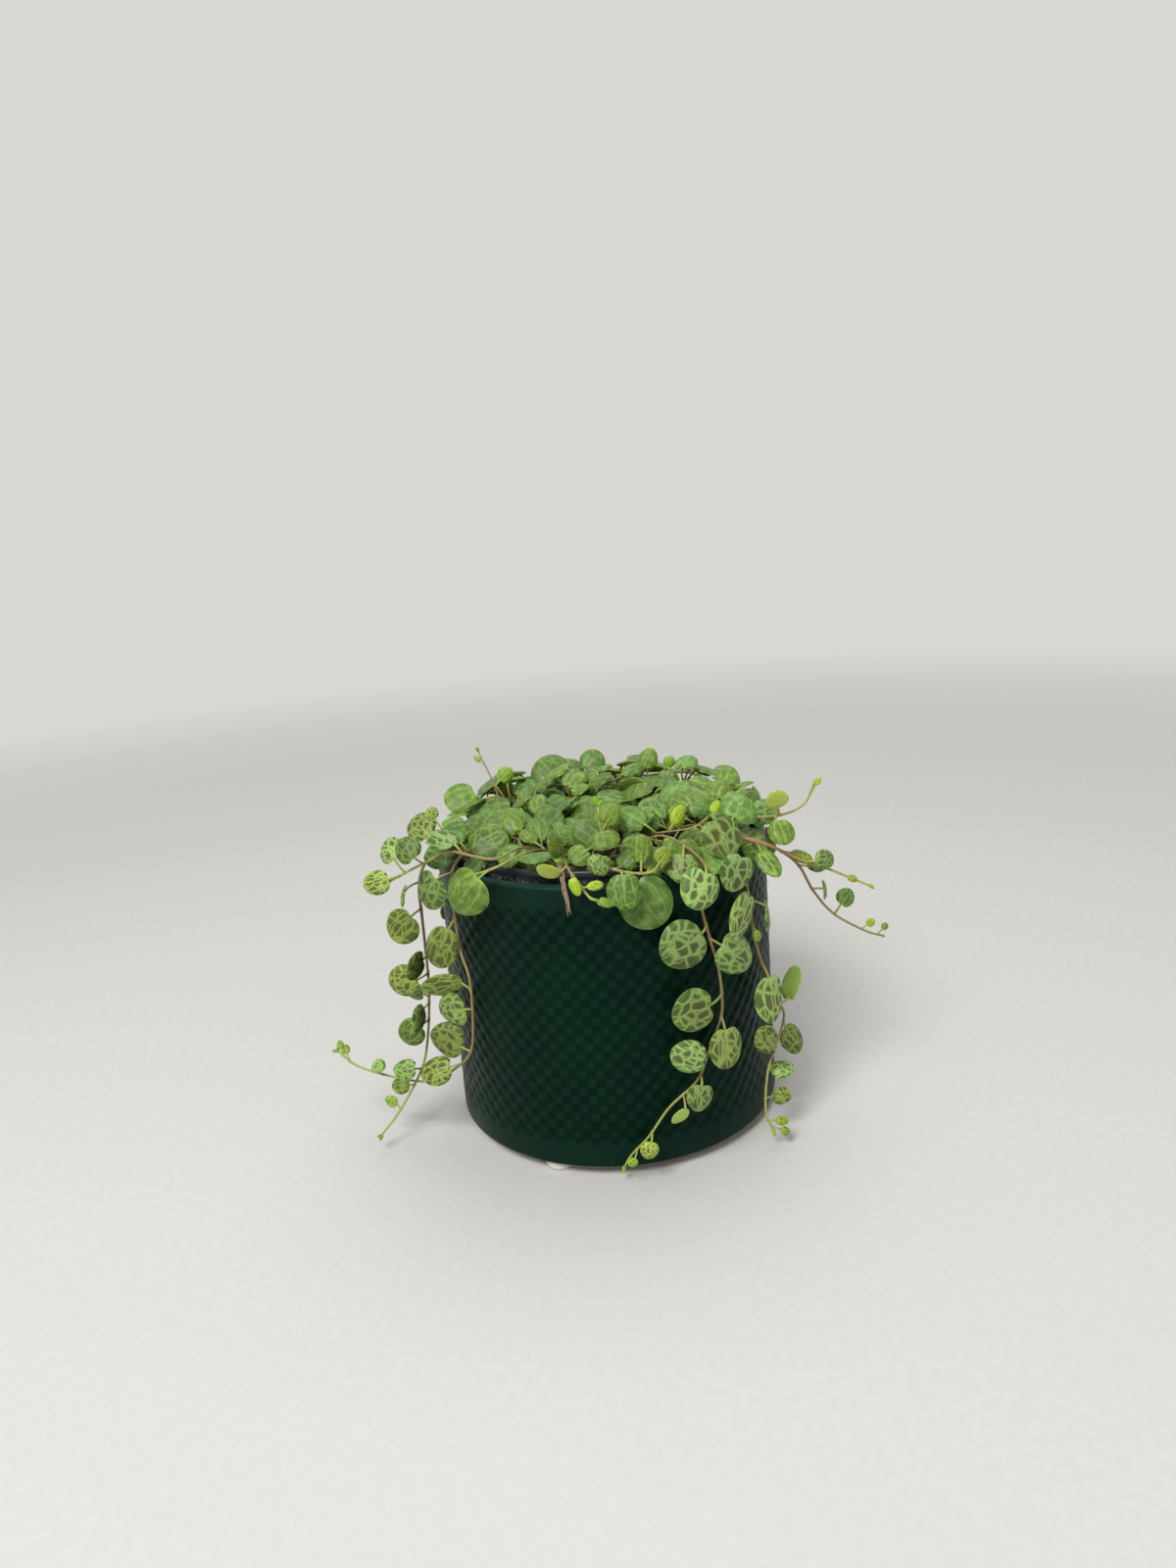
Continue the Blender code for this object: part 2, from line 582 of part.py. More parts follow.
def back_trailer_route(azimuth, drift, lowest):
    """Out of the mix, over both rims and down behind the pot, drifting a little sideways."""
    radius, height = BACK_RIM
    route = [(azimuth - 6, 26, 0), (azimuth - 2, 42, 108), (azimuth, 56, 106.5)]
    route.append((azimuth + 1, radius, height))
    for k in range(1, BACK_STEPS + 1):
        share = k / BACK_STEPS
        sway = 2 * math.sin(azimuth + 4 * share)
        fall = (height - lowest) * share
        route.append((azimuth + drift * share + sway, radius + 0.5 + share, height - fall))
    return route


def back_shoot_route(azimuth, reach, lowest):
    middle = (58 + reach) / 2
    return [
        (azimuth - 5, 30, 0), (azimuth - 2, 43, 109), (azimuth, 58, 108.5),
        (azimuth + 3, middle, (106 + lowest) / 2 + 3), (azimuth + 5, reach, lowest),
    ]


def crown_route(number, chance):
    """A short stem from near the middle out towards the rim, low over the potting mix."""
    azimuth = 360 * number / CROWN_STEMS + chance.uniform(-5, 5)
    end = chance.uniform(*CROWN_REACH)
    level = CROWN_HEIGHT + chance.uniform(-1.5, 3)
    swing = chance.uniform(-14, 14)
    return [
        (azimuth, CROWN_START + chance.uniform(-4, 5), 0),
        (azimuth + swing * 0.3, CROWN_START + 9, level - 2),
        (azimuth + swing * 0.6, (CROWN_START + 9 + end) / 2, level + 1),
        (azimuth + swing, end, max(level, 106)),
    ]


def make_stems(soil_tree, solids, chance):
    """Every stem, the hand-placed ones first, each clear of the stems before it."""
    stems = []
    for name, (route, _) in NAMED_VINES.items():
        stems.append(Stem(name, smooth_line(rooted(route, soil_tree))))
    for number, (azimuth, drift, lowest, _) in enumerate(BACK_TRAILERS, 1):
        route = back_trailer_route(azimuth, drift, lowest)
        stems.append(Stem(f"vine_back_trailer_{number}", smooth_line(rooted(route, soil_tree))))
    for number, shoot in enumerate(BACK_SHOOTS, 1):
        route = back_shoot_route(*shoot)
        stems.append(Stem(f"vine_back_shoot_{number}", smooth_line(rooted(route, soil_tree))))
    for stem in stems:
        solids.add(*stem_hull(stem))
    for number in range(CROWN_STEMS):
        for _ in range(CROWN_STEM_TRIES):
            route = crown_route(number, chance)
            stem = Stem(f"vine_crown_{number + 1:02d}", smooth_line(rooted(route, soil_tree)))
            if solids.is_clear(*stem_hull(stem)):
                solids.add(*stem_hull(stem))
                stems.append(stem)
                break
    return stems


def trailing_leaf_spots(stem, largest, chance):
    """Spots for leaves on alternate sides of a hanging stem, smaller towards its tip."""
    spots = []
    station, side = int(BARE_START / STEM_STEP), 1
    while station < len(stem.line) - ROOT_SPACING:
        share = station / len(stem.line)
        width = largest * (1.05 - 0.75 * share**2) * chance.uniform(0.82, 1.12)
        point = stem.line[station]
        azimuth = math.degrees(math.atan2(point.y, point.x)) + side * (width / 2 + PETIOLE) * 0.85
        radius = math.hypot(point.x, point.y) / MM + 1
        height = point.z / MM - chance.uniform(0, 4)
        facing = azimuth + chance.uniform(-28, 22)
        length = width * chance.uniform(0.95, 1.2)
        spots.append((azimuth, radius, height, width, length, facing, chance.uniform(-8, 22)))
        station += int((3.5 + width * chance.uniform(0.3, 0.55)) / STEM_STEP)
        side = -side
    return spots


def crown_leaf_spots(chance):
    """Spots spread evenly over the mound by the golden angle, tilted outwards and to the bright side."""
    spots = []
    for number in range(CROWN_LEAVES):
        radius = CROWN_RADIUS * math.sqrt((number + 0.5) / CROWN_LEAVES)
        azimuth = (number * GOLDEN_ANGLE) % 360 - 180
        if BARE_RIM[0] < azimuth < BARE_RIM[1] and radius > BARE_RIM_RADIUS:
            continue
        place = polar(azimuth, radius, 0) / MM
        fall = CROWN_FALL * max(0.0, radius - CROWN_SHOULDER)
        height = CROWN_LEAF_HEIGHT + 0.05 * place.y + chance.uniform(-2.5, 3.5) - fall
        width = chance.choice(CROWN_LEAF_WIDTHS)
        bright_side = -0.3 if place.y > 0 else -0.6
        lean = Vector((chance.gauss(0, 0.3), chance.gauss(bright_side, 0.3), 1.0))
        lean += place * 0.45 / CROWN_RADIUS
        elevation = math.degrees(lean.angle(Vector((lean.x, lean.y, 0))))
        facing = math.degrees(math.atan2(lean.y, lean.x))
        length = width * chance.uniform(0.92, 1.15)
        spots.append((azimuth, radius, height, width, length, facing, elevation))
    return spots


def grow_plant(soil_tree, solids):
    """All stems with their leaves, every leaf clear of every other and of the pots."""
    chance = random.Random(GROWTH_SEED)
    stems = make_stems(soil_tree, solids, chance)
    by_name = {stem.name: stem for stem in stems}
    for name, (_, leaves) in NAMED_VINES.items():
        for spot in leaves:
            place_leaf([by_name[name]], spot, solids, chance, PLACED_TRIES)
    for spot in MOUND_LEAVES:
        place_leaf(stems, spot, solids, chance, PLACED_TRIES)
    trailing = [(f"vine_back_trailer_{n}", spec[3]) for n, spec in enumerate(BACK_TRAILERS, 1)]
    trailing += [(f"vine_back_shoot_{n}", BACK_SHOOT_LEAF) for n in range(1, len(BACK_SHOOTS) + 1)]
    for name, largest in trailing:
        for spot in trailing_leaf_spots(by_name[name], largest, chance):
            place_leaf([by_name[name]], spot, solids, chance, TRAILING_TRIES)
    for spot in crown_leaf_spots(chance):
        place_leaf(stems, spot, solids, chance, CROWN_TRIES)
    return stems


# Meshes of the plant


def ring_stations(stem):
    """Where a stem's tube has rings: a pair at each leaf, and enough between to follow its bends."""
    pairs = {leaf.station - 1 for leaf in stem.leaves}
    fixed = sorted(pairs | {s + 2 for s in pairs})
    inside = {s + 1 for s in pairs}
    stations = [0]
    for station in range(1, len(stem.line)):
        turned = math.degrees(stem.tangent(station).angle(stem.tangent(stations[-1])))
        far = (station - stations[-1]) * STEM_STEP > STEM_LONGEST_SPAN
        needed = (turned > STEM_BEND or far) and station not in inside and station - 1 not in fixed
        if station in fixed or needed:
            stations.append(station)
    if stations[-1] != len(stem.line) - 1:
        stations.append(len(stem.line) - 1)
    return stations


def bridge(bm, loop, ring):
    """Join a loop to the next ring with the least twist, and return that ring in matching order."""
    loop_middle = sum((v.co for v in loop), Vector()) / 4
    ring_middle = sum(ring, Vector()) / 4

    def twist(shift):
        total = 0.0
        for k in range(4):
            here = (loop[k].co - loop_middle).normalized()
            there = (ring[(k + shift) % 4] - ring_middle).normalized()
            total += (here - there).length
        return total

    shift = min(range(4), key=twist)
    following = [bm.verts.new(ring[(k + shift) % 4]) for k in range(4)]
    join_rings(bm, loop, following)
    return following


def add_leaf(bm, leaf, sides):
    """Run the side of the stem that looks most to the leaf out into it, and return the other sides."""
    way = leaf.base - leaf.root

    def towards_leaf(side):
        return (sum((v.co for v in side), Vector()) / 4 - leaf.root).dot(way)

    open_side = max(sides, key=towards_leaf)
    loop = list(open_side)
    for ring in blade_rings(leaf):
        loop = bridge(bm, loop, ring)
    close_to_point(bm, loop, leaf.tip)
    return [side for side in sides if side is not open_side]


def vine_mesh(stem):
    """One closed body: a square-sided stem whose side faces run out into petioles and leaves."""
    bm = bmesh.new()
    stations = ring_stations(stem)
    rings = [[bm.verts.new(p) for p in ring] for ring in tube_points(stem, 0.0, stations)]
    carried = {leaf.station - 1: leaf for leaf in stem.leaves}
    for station, lower, upper in zip(stations, rings, rings[1:]):
        sides = [(lower[k], lower[(k + 1) % 4], upper[(k + 1) % 4], upper[k]) for k in range(4)]
        if station in carried:
            sides = add_leaf(bm, carried[station], sides)
        for side in sides:
            bm.faces.new(side)
    bm.faces.new(rings[0][::-1])
    bm.faces.new(rings[-1])
    return finished_mesh(stem.name, bm)


def stalk_mesh():
    """A withered stalk from the potting mix over the front rim: a shrivelled, tapering strip."""
    stem = Stem("withered_stalk", smooth_line([polar(*spot) for spot in STALK_ROUTE]))
    last = len(stem.line) - 1
    bm = bmesh.new()
    rings = []
    for station in range(0, last, STALK_RING_STEP):
        share = station / last
        along, point = stem.tangent(station), stem.line[station]
        out = UP if share < 0.5 else Vector((point.x, point.y, 0)).normalized()
        across = along.cross(out).normalized()
        deep = across.cross(along) * STALK_THICKNESS / 2 * MM
        shrivel = (1 - 0.75 * share**2) * (1 + 0.25 * math.sin(station))
        wide = across * STALK_WIDTH / 2 * shrivel * MM
        rings.append([bm.verts.new(point + side) for side in (wide, deep, -wide, -deep)])
    for lower, upper in zip(rings, rings[1:]):
        join_rings(bm, lower, upper)
    bm.faces.new(rings[0][::-1])
    close_to_point(bm, rings[-1], stem.line[last])
    return finished_mesh("withered_stalk", bm)


# The scene


def material(name, colour, roughness):
    made = bpy.data.materials.new(name)
    made.use_nodes = True
    shader = made.node_tree.nodes["Principled BSDF"]
    shader.inputs["Base Color"].default_value = colour
    shader.inputs["Roughness"].default_value = roughness
    shader.inputs["Metallic"].default_value = 0.0
    return made


def add_object(name, mesh, look):
    made = bpy.data.objects.new(name, mesh)
    bpy.context.collection.objects.link(made)
    if look:
        mesh.materials.append(look)
    return made


def add_foot_pads(look):
    radius, height = PAD_DIAMETER / 2 * MM, (PAD_HEIGHT - GAP) * MM
    for number, azimuth in enumerate(PAD_AZIMUTHS, 1):
        bm = bmesh.new()
        bmesh.ops.create_cone(
            bm, cap_ends=True, segments=PAD_SEGMENTS, radius1=radius, radius2=radius, depth=height
        )
        pad = add_object(f"foot_pad_{number}", finished_mesh(f"foot_pad_{number}", bm), look)
        pad.location = polar(azimuth, PAD_CIRCLE_RADIUS, (PAD_HEIGHT - GAP) / 2)


def solid_of(made, solids):
    """Add an object's own mesh to the solids that the plant keeps clear of."""
    mesh = made.data
    points = [v.co.copy() for v in mesh.vertices]
    faces = [tuple(face.vertices) for face in mesh.polygons]
    solids.add(points, faces)
    return BVHTree.FromPolygons(points, faces)


def main():
    for old in list(bpy.data.objects):
        bpy.data.objects.remove(old, do_unlink=True)

    glaze = material("dark green glaze", GLAZE_COLOUR, 0.4)
    plastic = material("black plastic", PLASTIC_COLOUR, 0.6)
    add_foot_pads(material("white pad", PAD_COLOUR, 0.7))
    cover = add_object("cover_pot", turned_mesh("cover_pot", cover_pot_profile(), COVER_SEGMENTS), glaze)
    nursery_mesh = turned_mesh("nursery_pot", nursery_pot_profile(), NURSERY_SEGMENTS)
    nursery = add_object("nursery_pot", nursery_mesh, plastic)
    soil = add_object("soil", soil_mesh(), material("potting mix", SOIL_COLOUR, 0.95))
    stalk = add_object("withered_stalk", stalk_mesh(), material("withered stalk", STALK_COLOUR, 0.9))

    solids = Clearance()
    for made in (cover, nursery, stalk):
        solid_of(made, solids)
    soil_tree = solid_of(soil, solids)
    cut_drain_holes(nursery)
    living = material("leaf green", LEAF_COLOUR, 0.45)
    for stem in grow_plant(soil_tree, solids):
        add_object(stem.name, vine_mesh(stem), living)


main()
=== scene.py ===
"""A string of turtles (a trailing plant with round, fleshy leaves) in its nursery pot and cover pot.

The frame: metres, +Z up, the pot's axis on Z, the surface that the object stands on at Z = 0, and
-Y the side with the bare stretch of rim. Lengths among the constants are millimetres unless they
say otherwise, and angles are degrees.
"""

import math
import random
from collections import namedtuple

import bmesh
import bpy
from bpy.props import FloatProperty, FloatVectorProperty, IntProperty, PointerProperty
from mathutils import Euler, Matrix, Quaternion, Vector, noise
from mathutils.bvhtree import BVHTree


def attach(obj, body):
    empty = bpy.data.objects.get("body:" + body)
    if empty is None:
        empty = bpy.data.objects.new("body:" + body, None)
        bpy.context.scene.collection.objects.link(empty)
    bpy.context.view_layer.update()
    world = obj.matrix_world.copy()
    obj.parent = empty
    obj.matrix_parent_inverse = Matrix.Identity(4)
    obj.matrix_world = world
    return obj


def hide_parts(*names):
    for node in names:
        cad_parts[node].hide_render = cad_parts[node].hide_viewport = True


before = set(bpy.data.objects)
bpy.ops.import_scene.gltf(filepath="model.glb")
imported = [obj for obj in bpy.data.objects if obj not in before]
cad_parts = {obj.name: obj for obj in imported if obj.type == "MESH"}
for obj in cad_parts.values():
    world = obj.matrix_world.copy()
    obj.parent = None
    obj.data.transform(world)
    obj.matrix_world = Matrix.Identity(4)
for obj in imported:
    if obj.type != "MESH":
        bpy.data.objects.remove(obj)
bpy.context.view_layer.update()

bl_info = {
    "name": "Potted string of turtles",
    "version": (1, 0, 0),
    "blender": (4, 5, 0),
    "location": "3D View > Sidebar > Turtles",
    "description": "Builds a potted string of turtles round its packed frame",
    "category": "Object",
}

MM = 0.001
GAP = 0.3
UP = Vector((0.0, 0.0, 1.0))
SMOOTH_ANGLE = 40.0

# Foot pads
PAD_DIAMETER = 9.5
PAD_HEIGHT = 3.0
PAD_CIRCLE_RADIUS = 51.2
PAD_AZIMUTHS = (-115.0, 0.0, 125.0)

# Cover pot: a straight glazed cylinder
COVER_RADIUS = 57.5
COVER_BASE = PAD_HEIGHT
COVER_RIM = 100.0
COVER_WALL = 4.0
COVER_FLOOR = 5.0
COVER_LIP_ROUND = 1.6
COVER_BASE_ROUND = 1.8
COVER_SEGMENTS = 56

# Nursery pot: thin tapered plastic with a deep rim band
NURSERY_BASE = COVER_BASE + COVER_FLOOR + GAP
NURSERY_RIM = 103.0
NURSERY_BASE_RADIUS = 38.0
NURSERY_TOP_RADIUS = 50.3
NURSERY_BAND_RADIUS = 52.4
NURSERY_BAND_HEIGHT = 9.0
NURSERY_WALL = 1.2
NURSERY_SEGMENTS = 48
DRAIN_HOLES = 4
DRAIN_RADIUS = 3.5
DRAIN_CIRCLE_RADIUS = 22.0
DRAIN_FIRST_AZIMUTH = 45.0

# Potting mix
SOIL_LEVEL = 96.0
SOIL_WAVE = 0.6
SOIL_WAVES_ROUND = 3
SOIL_RINGS = (0.93, 0.7, 0.4)
SOIL_SEGMENTS = 28

# Withered stalk over the front rim
STALK_WIDTH = 2.6
STALK_THICKNESS = 0.9
STALK_RING_STEP = 5
STALK_ROUTE = [
    (-108, 45, 97.6), (-106.5, 48.5, 103.5), (-104.5, 53, 105.5), (-102.8, 56.8, 104.3),
    (-101.8, 59.3, 100), (-101.2, 59.6, 95.8), (-100.8, 59.9, 91.5),
]

# Stems and leaves; a station is one step along a stem
STEM_STEP = 0.5
STEM_SIDES = 4
STEM_RADIUS = 0.62
STEM_TIP_RADIUS = 0.4
STEM_UPRIGHT = 3.0
STEM_FOOT = 2
ROOT_SPACING = 4
PETIOLE = 2.6
PETIOLE_LONGEST = 9.0
PETIOLE_HALF_WIDTH = 0.42
LEAF_THICKNESS = 1.3
LEAF_DROOP = 0.07
LARGE_LEAF = 9.0
# How far a leaf may move, tilt and shrink to find room, and how many times it tries
LEAF_SHIFT = 4.0
LEAF_TILT = 40.0
LEAF_SHRINK = 0.35
PLACED_TRIES = 80
TRAILING_TRIES = 40
CROWN_TRIES = 30
NEAREST_STEMS = 3
OLD_WOOD_PREFERENCE = 0.02
# Cross-sections from the petiole to the tip: distance along, half width and thickness, as fractions
LARGE_BLADE = ((0.10, 0.34, 0.55), (0.42, 0.50, 1.0), (0.80, 0.36, 0.75))
SMALL_BLADE = ((0.26, 0.46, 0.9), (0.72, 0.40, 0.8))

# Each route: (azimuth, radius, height) from the potting mix to the tip; each leaf: centre as
# (azimuth, radius, height), width, length, and the azimuth and elevation that its upper face looks to
NAMED_VINES = {
    "vine_right_front_trailer": (
        [(-75, 33, 0), (-70, 45, 109), (-66, 54, 110.5), (-60, 60, 104), (-59.5, 62, 99),
         (-62, 62, 91), (-60, 62, 80), (-57, 62, 67), (-56.5, 62, 54), (-59, 62, 47),
         (-63, 62, 39), (-67, 62, 32), (-76, 61.5, 25), (-82.5, 61, 16), (-88, 60.5, 10),
         (-90.5, 60, 5.5)],
        [(-64, 66, 97, 13, 13, -70, 15), (-70, 65, 80, 15.5, 15, -77, 8),
         (-53, 65, 72, 13, 15.5, -60, 5), (-68, 65, 58, 14.5, 14, -74, 0),
         (-58, 65, 42, 12, 14.5, -66, 5), (-70, 65, 43, 10.5, 12.5, -76, 10),
         (-67.5, 65, 28, 9, 9.5, -75, 5), (-73.5, 64, 23, 5, 8, 100, 25),
         (-83, 64, 13, 6, 6, -85, 10), (-88, 63.5, 9, 3.5, 3.5, -88, 0)],
    ),
    "vine_right_edge_trailer": (
        [(-44, 26, 0), (-47, 43, 109), (-48, 56, 107), (-46, 61.5, 99), (-43, 62.5, 86),
         (-42, 62.5, 75), (-38, 62.5, 63), (-33, 64.5, 48), (-30.5, 66, 41), (-33.5, 64.5, 32),
         (-40, 64.5, 25), (-44, 66, 13), (-43, 68, 6)],
        [(-52, 66, 99, 10.5, 12.5, -78, 10), (-50, 65.5, 84, 12, 16.5, -42, 0),
         (-39, 66, 80, 10, 11, -8, 5), (-44, 65.5, 75, 3, 4, -80, 10),
         (-39, 66, 51, 12, 17, -58, 5), (-25.5, 67.7, 49.5, 8, 13, 37, -29),
         (-28, 67.5, 31, 8.5, 12, -65, 10), (-42, 66, 38, 9, 11, -62, 0),
         (-34, 66, 23, 7, 8.5, -90, 60), (-36, 67, 14, 6.5, 6.5, -82, 5),
         (-41, 70, 9, 3, 4.5, -80, 30), (-41, 71, 5.5, 3, 3.5, -80, 30)],
    ),
    "vine_left_trailer": (
        [(-150, 24, 0), (-154, 42, 110), (-157, 56, 108), (-159, 63.5, 100), (-160, 66, 92),
         (-161, 66, 82), (-162, 66, 68), (-162, 66.5, 54), (-162, 69, 36), (-160, 73, 26),
         (-160, 82, 13), (-159, 89.5, 6.5)],
        [(-151, 76, 93, 8, 10, -170, 5), (-159, 73.5, 80, 12.5, 12.5, -108, 5),
         (-155, 71.5, 67, 9, 13, -20, 0), (-160, 75, 60, 11.5, 11.5, -104, 5),
         (-167, 71, 52, 7, 9, -120, 0), (-157, 72, 47, 8, 12, -15, 10),
         (-160, 74.5, 41, 10, 10, -104, 8), (-157, 79, 30, 7, 9, -105, 30),
         (-163, 80, 20, 6, 7, -100, 25), (-163, 84, 15, 4, 5, -100, 20)],
    ),
    "vine_left_sweeping": (
        [(-128, 25, 0), (-136, 42, 109), (-141, 56, 107), (-143, 61.5, 99), (-143, 61.5, 86),
         (-141.5, 61.5, 74), (-138.5, 61.5, 66), (-139, 61.5, 52), (-142, 61.5, 39),
         (-150, 63, 30), (-155, 70, 24.5), (-159, 79, 25), (-166, 93, 28), (-170, 100, 32)],
        [(-146, 65.5, 77, 12, 16.5, -115, 8), (-148, 66, 61.5, 9, 15.5, -95, -15),
         (-146, 64, 54, 12.5, 12.5, -122, 0), (-148, 66.5, 42, 13, 13, -108, 5),
         (-153, 69.5, 29, 10, 12.5, -110, 35), (-161, 87, 31, 5, 5, -100, 45),
         (-168.5, 97, 33.5, 3, 4, -100, 50), (-170.5, 99, 34, 2.5, 3.5, -100, 50)],
    ),
    "vine_left_arch": (
        [(-116, 34, 0), (-120, 48, 109), (-124, 60, 108.5), (-137, 65, 110.5), (-143, 68, 107),
         (-147, 74, 103.5), (-150, 78.5, 100.5)],
        [(-150, 83, 101, 8, 10.5, -112, 10), (-150, 77, 110.5, 9, 9, -120, 30),
         (-145, 74, 111.5, 9, 9, -105, 25), (-140, 64, 114, 10, 13, -90, 70)],
    ),
    "vine_left_front_leaves": (
        [(-110, 30, 0), (-114, 46, 108), (-119, 55, 108), (-123, 59.5, 106), (-128, 62.5, 104)],
        [(-130, 66.5, 98.5, 15, 15.5, -118, 8)],
    ),
    "vine_front_shoot": (
        [(-100, 36, 0), (-104, 47, 106.5), (-101, 56, 105.5), (-97, 60, 101.5), (-94.5, 61.5, 98),
         (-92, 62, 96.5)],
        [(-104, 59, 104, 8.5, 9, 70, 30), (-98, 63, 102, 3.5, 6, -100, 20),
         (-90.5, 63, 97, 3, 5, -90, 30), (-92.5, 63, 102, 3, 5, -90, 20)],
    ),
    "vine_front_rim": (
        [(-86, 28, 0), (-93, 46, 107.5), (-91.5, 55, 106.5), (-84, 58.5, 104), (-77, 59.5, 103),
         (-73.5, 59.5, 104.5)],
        [(-85, 65.5, 100.5, 10.5, 11, -87, 20), (-72.5, 60.5, 108, 5.5, 5.5, -82, 10),
         (-78, 57.5, 110, 6.5, 9, -85, 15), (-92, 60, 107.5, 6, 7.5, -95, 15)],
    ),
    "vine_right_upper_shoot": (
        [(-14, 27, 0), (-26, 43, 109), (-34, 57, 110.5), (-32, 68, 111.5), (-28, 74, 114),
         (-27, 77, 120)],
        [(-36, 69, 118, 7.5, 8, 95, 25), (-37, 71, 108, 8.5, 9.5, -88, 45),
         (-28, 79, 122, 2, 3, -90, 20)],
    ),
    "vine_right_middle_shoot": (
        [(-34, 27, 0), (-40, 42, 107.5), (-42, 57, 106.5), (-38, 68, 103), (-34, 75.5, 98),
         (-30, 84, 93.5), (-27, 94, 88)],
        [(-32, 82, 98, 6.5, 6.5, -85, 15), (-41, 69, 99, 7, 11, -85, 45),
         (-29, 90, 92, 2.5, 3.5, -90, 20)],
    ),
    "vine_right_lower_shoot": (
        [(-22, 33, 0), (-34, 46, 106), (-36.5, 58, 104.5), (-34, 67, 101), (-29, 72, 94),
         (-22, 74.5, 82), (-14, 80, 70), (-6, 91, 59), (-1, 98, 53.5)],
        [(-26, 75.5, 92, 7, 8, -90, 70), (-31.5, 73.5, 98, 5, 8, -70, 50),
         (-18.5, 77.5, 81, 7, 9, -12, 5), (-12, 84, 75, 6.7, 6.7, -82, 15),
         (-6, 92.5, 61.5, 3, 3.5, -85, 30), (-2, 97.5, 56, 3, 3.5, -90, 30)],
    ),
    "vine_back_right_shoot": (
        [(108, 16, 0), (92, 26, 110), (66, 33, 111.5), (50, 40, 112.5), (40, 46.5, 115.5)],
        [(57, 37, 118, 7.5, 8.5, -100, 20), (47, 41, 116.5, 4.5, 4.5, -90, 10),
         (63, 33, 115, 6, 9, -90, 40), (42, 36, 111, 8, 9, -90, 55)],
    ),
    "vine_mound_front_shoot": (
        [(-70, 24, 0), (-82, 38, 105), (-88.5, 44, 109), (-90, 42, 115), (-90, 40, 120.5)],
        [(-87, 42.5, 116.5, 7, 8, -90, 12), (-91, 39, 121.5, 2.5, 3.5, -90, 30)],
    ),
    "vine_mound_right_shoot": (
        [(-50, 26, 0), (-62, 38, 107), (-66, 46, 110.5), (-56, 51.5, 111.5), (-52, 55, 115),
         (-51, 57, 117.5)],
        [(-50.5, 58, 119.5, 3, 5, -80, 30), (-59, 48, 115.5, 4.5, 7, -75, 12)],
    ),
    "vine_back_left_shoot": (
        [(172, 26, 0), (167, 34, 107), (163, 39, 119), (164, 43, 130)],
        [(157, 35.5, 120, 6, 6.5, -85, 15), (162, 44, 127, 2, 3.5, -90, 30)],
    ),
}

# Leaves of the mound that stand out: any stem in reach carries them
MOUND_LEAVES = [
    (-78.5, 61.5, 94.2, 18, 18, -84, 8), (-143, 69, 97, 13, 13, -126, 5),
    (-51, 60, 108, 14, 14, -72, 30), (-65, 57, 105, 15, 13.5, -75, 38),
    (21, 39.5, 108.5, 13, 12, -95, 38), (3, 43, 109.5, 11, 11, -95, 50),
    (-1, 51, 111.5, 5, 6, -90, 10), (114, 44, 114.5, 16, 12.5, -90, 38),
    (91, 48, 115, 10.5, 10, -90, 32), (161, 53, 112, 13.5, 12, -90, 42),
    (-166, 62, 111, 11, 11, -110, 40), (-136, 50, 111, 15, 13, -95, 45),
    (-150, 55, 111, 9, 12, -82, 35), (-88, 49, 110, 12, 9, -90, 50),
    (-97.2, 51.5, 107.5, 8.5, 7.5, -90, 50), (-112, 54, 108.5, 13, 11, 90, 86),
    (-104, 54, 111.5, 9, 10.5, -35, 10), (-124, 52, 107.5, 8.5, 8.5, -110, 45),
    (-85, 25, 112, 7.5, 8.5, -90, 12), (-73, 41, 112, 11, 12, -80, 35),
    (-51, 40, 113, 4.5, 7, -60, 12), (-37, 56, 114, 13, 10, -85, 45),
    (-27, 61, 111, 9, 9, -85, 35), (35, 32, 111, 10.5, 9, -90, 60),
    (-159, 59, 117, 4.5, 4.5, -90, 12), (139, 34, 112, 10, 13, -60, 58),
    (-141, 37, 112, 9, 9, -90, 40), (-144, 22, 111, 9, 9, -90, 45),
]

# Trailing stems behind the pot: azimuth at the rim, sideways drift, lowest height, largest leaf
BACK_TRAILERS = [
    (18, 8, 62, 12), (44, -6, 34, 14), (70, 7, 52, 12), (97, -8, 24, 14), (124, 6, 60, 13),
    (152, 8, 40, 13),
]
# Stems that reach out from the back of the mound: azimuth, reach, lowest height
BACK_SHOOTS = [(80, 63, 97.5)]
BACK_SHOOT_LEAF = 9.0
BARE_START = 30.0
BACK_RIM = (62.2, 99.0)
BACK_STEPS = 4

# The mound over the pot
CROWN_STEMS = 18
CROWN_STEM_TRIES = 40
CROWN_START = 13.0
CROWN_REACH = (44.0, 57.0)
CROWN_HEIGHT = 105.5
CROWN_LEAVES = 180
CROWN_RADIUS = 61.0
CROWN_LEAF_WIDTHS = (7.5, 9.5, 11, 12, 13.5)
CROWN_LEAF_HEIGHT = 109.5
CROWN_SHOULDER = 48.0
CROWN_FALL = 0.35
BARE_RIM = (-128, -92)
BARE_RIM_RADIUS = 47.0
GOLDEN_ANGLE = 137.508
GROWTH_SEED = 7

# Visible pots: steps and rings that the surfaces are drawn with
DIMPLE_STEPS = 6
DIMPLE_RINGS_PER_ROW = 4
DIMPLE_ROUNDNESS = 1.6
WALL_SKIN = 0.001
UNDERSIDE_RING = 40
FLOOR_RING = 20
INNER_CORNER = 4
NURSERY_STEPS = 96
NURSERY_RING = 30
NURSERY_CORNER = 2
NURSERY_LIP = 0.6
# Soft edges of the nursery pot's step, and a groove under its lip: depth, and drops to its ends
NURSERY_STEP_EDGE = 0.3
NURSERY_GROOVE = (0.15, 2.6, 2.2)
DRAIN_STEPS = 32
DRAIN_CUT = 6
PAD_STEPS = 48
PAD_LOWER_ROUND = 0.5
PAD_UPPER_ROUND = 0.7

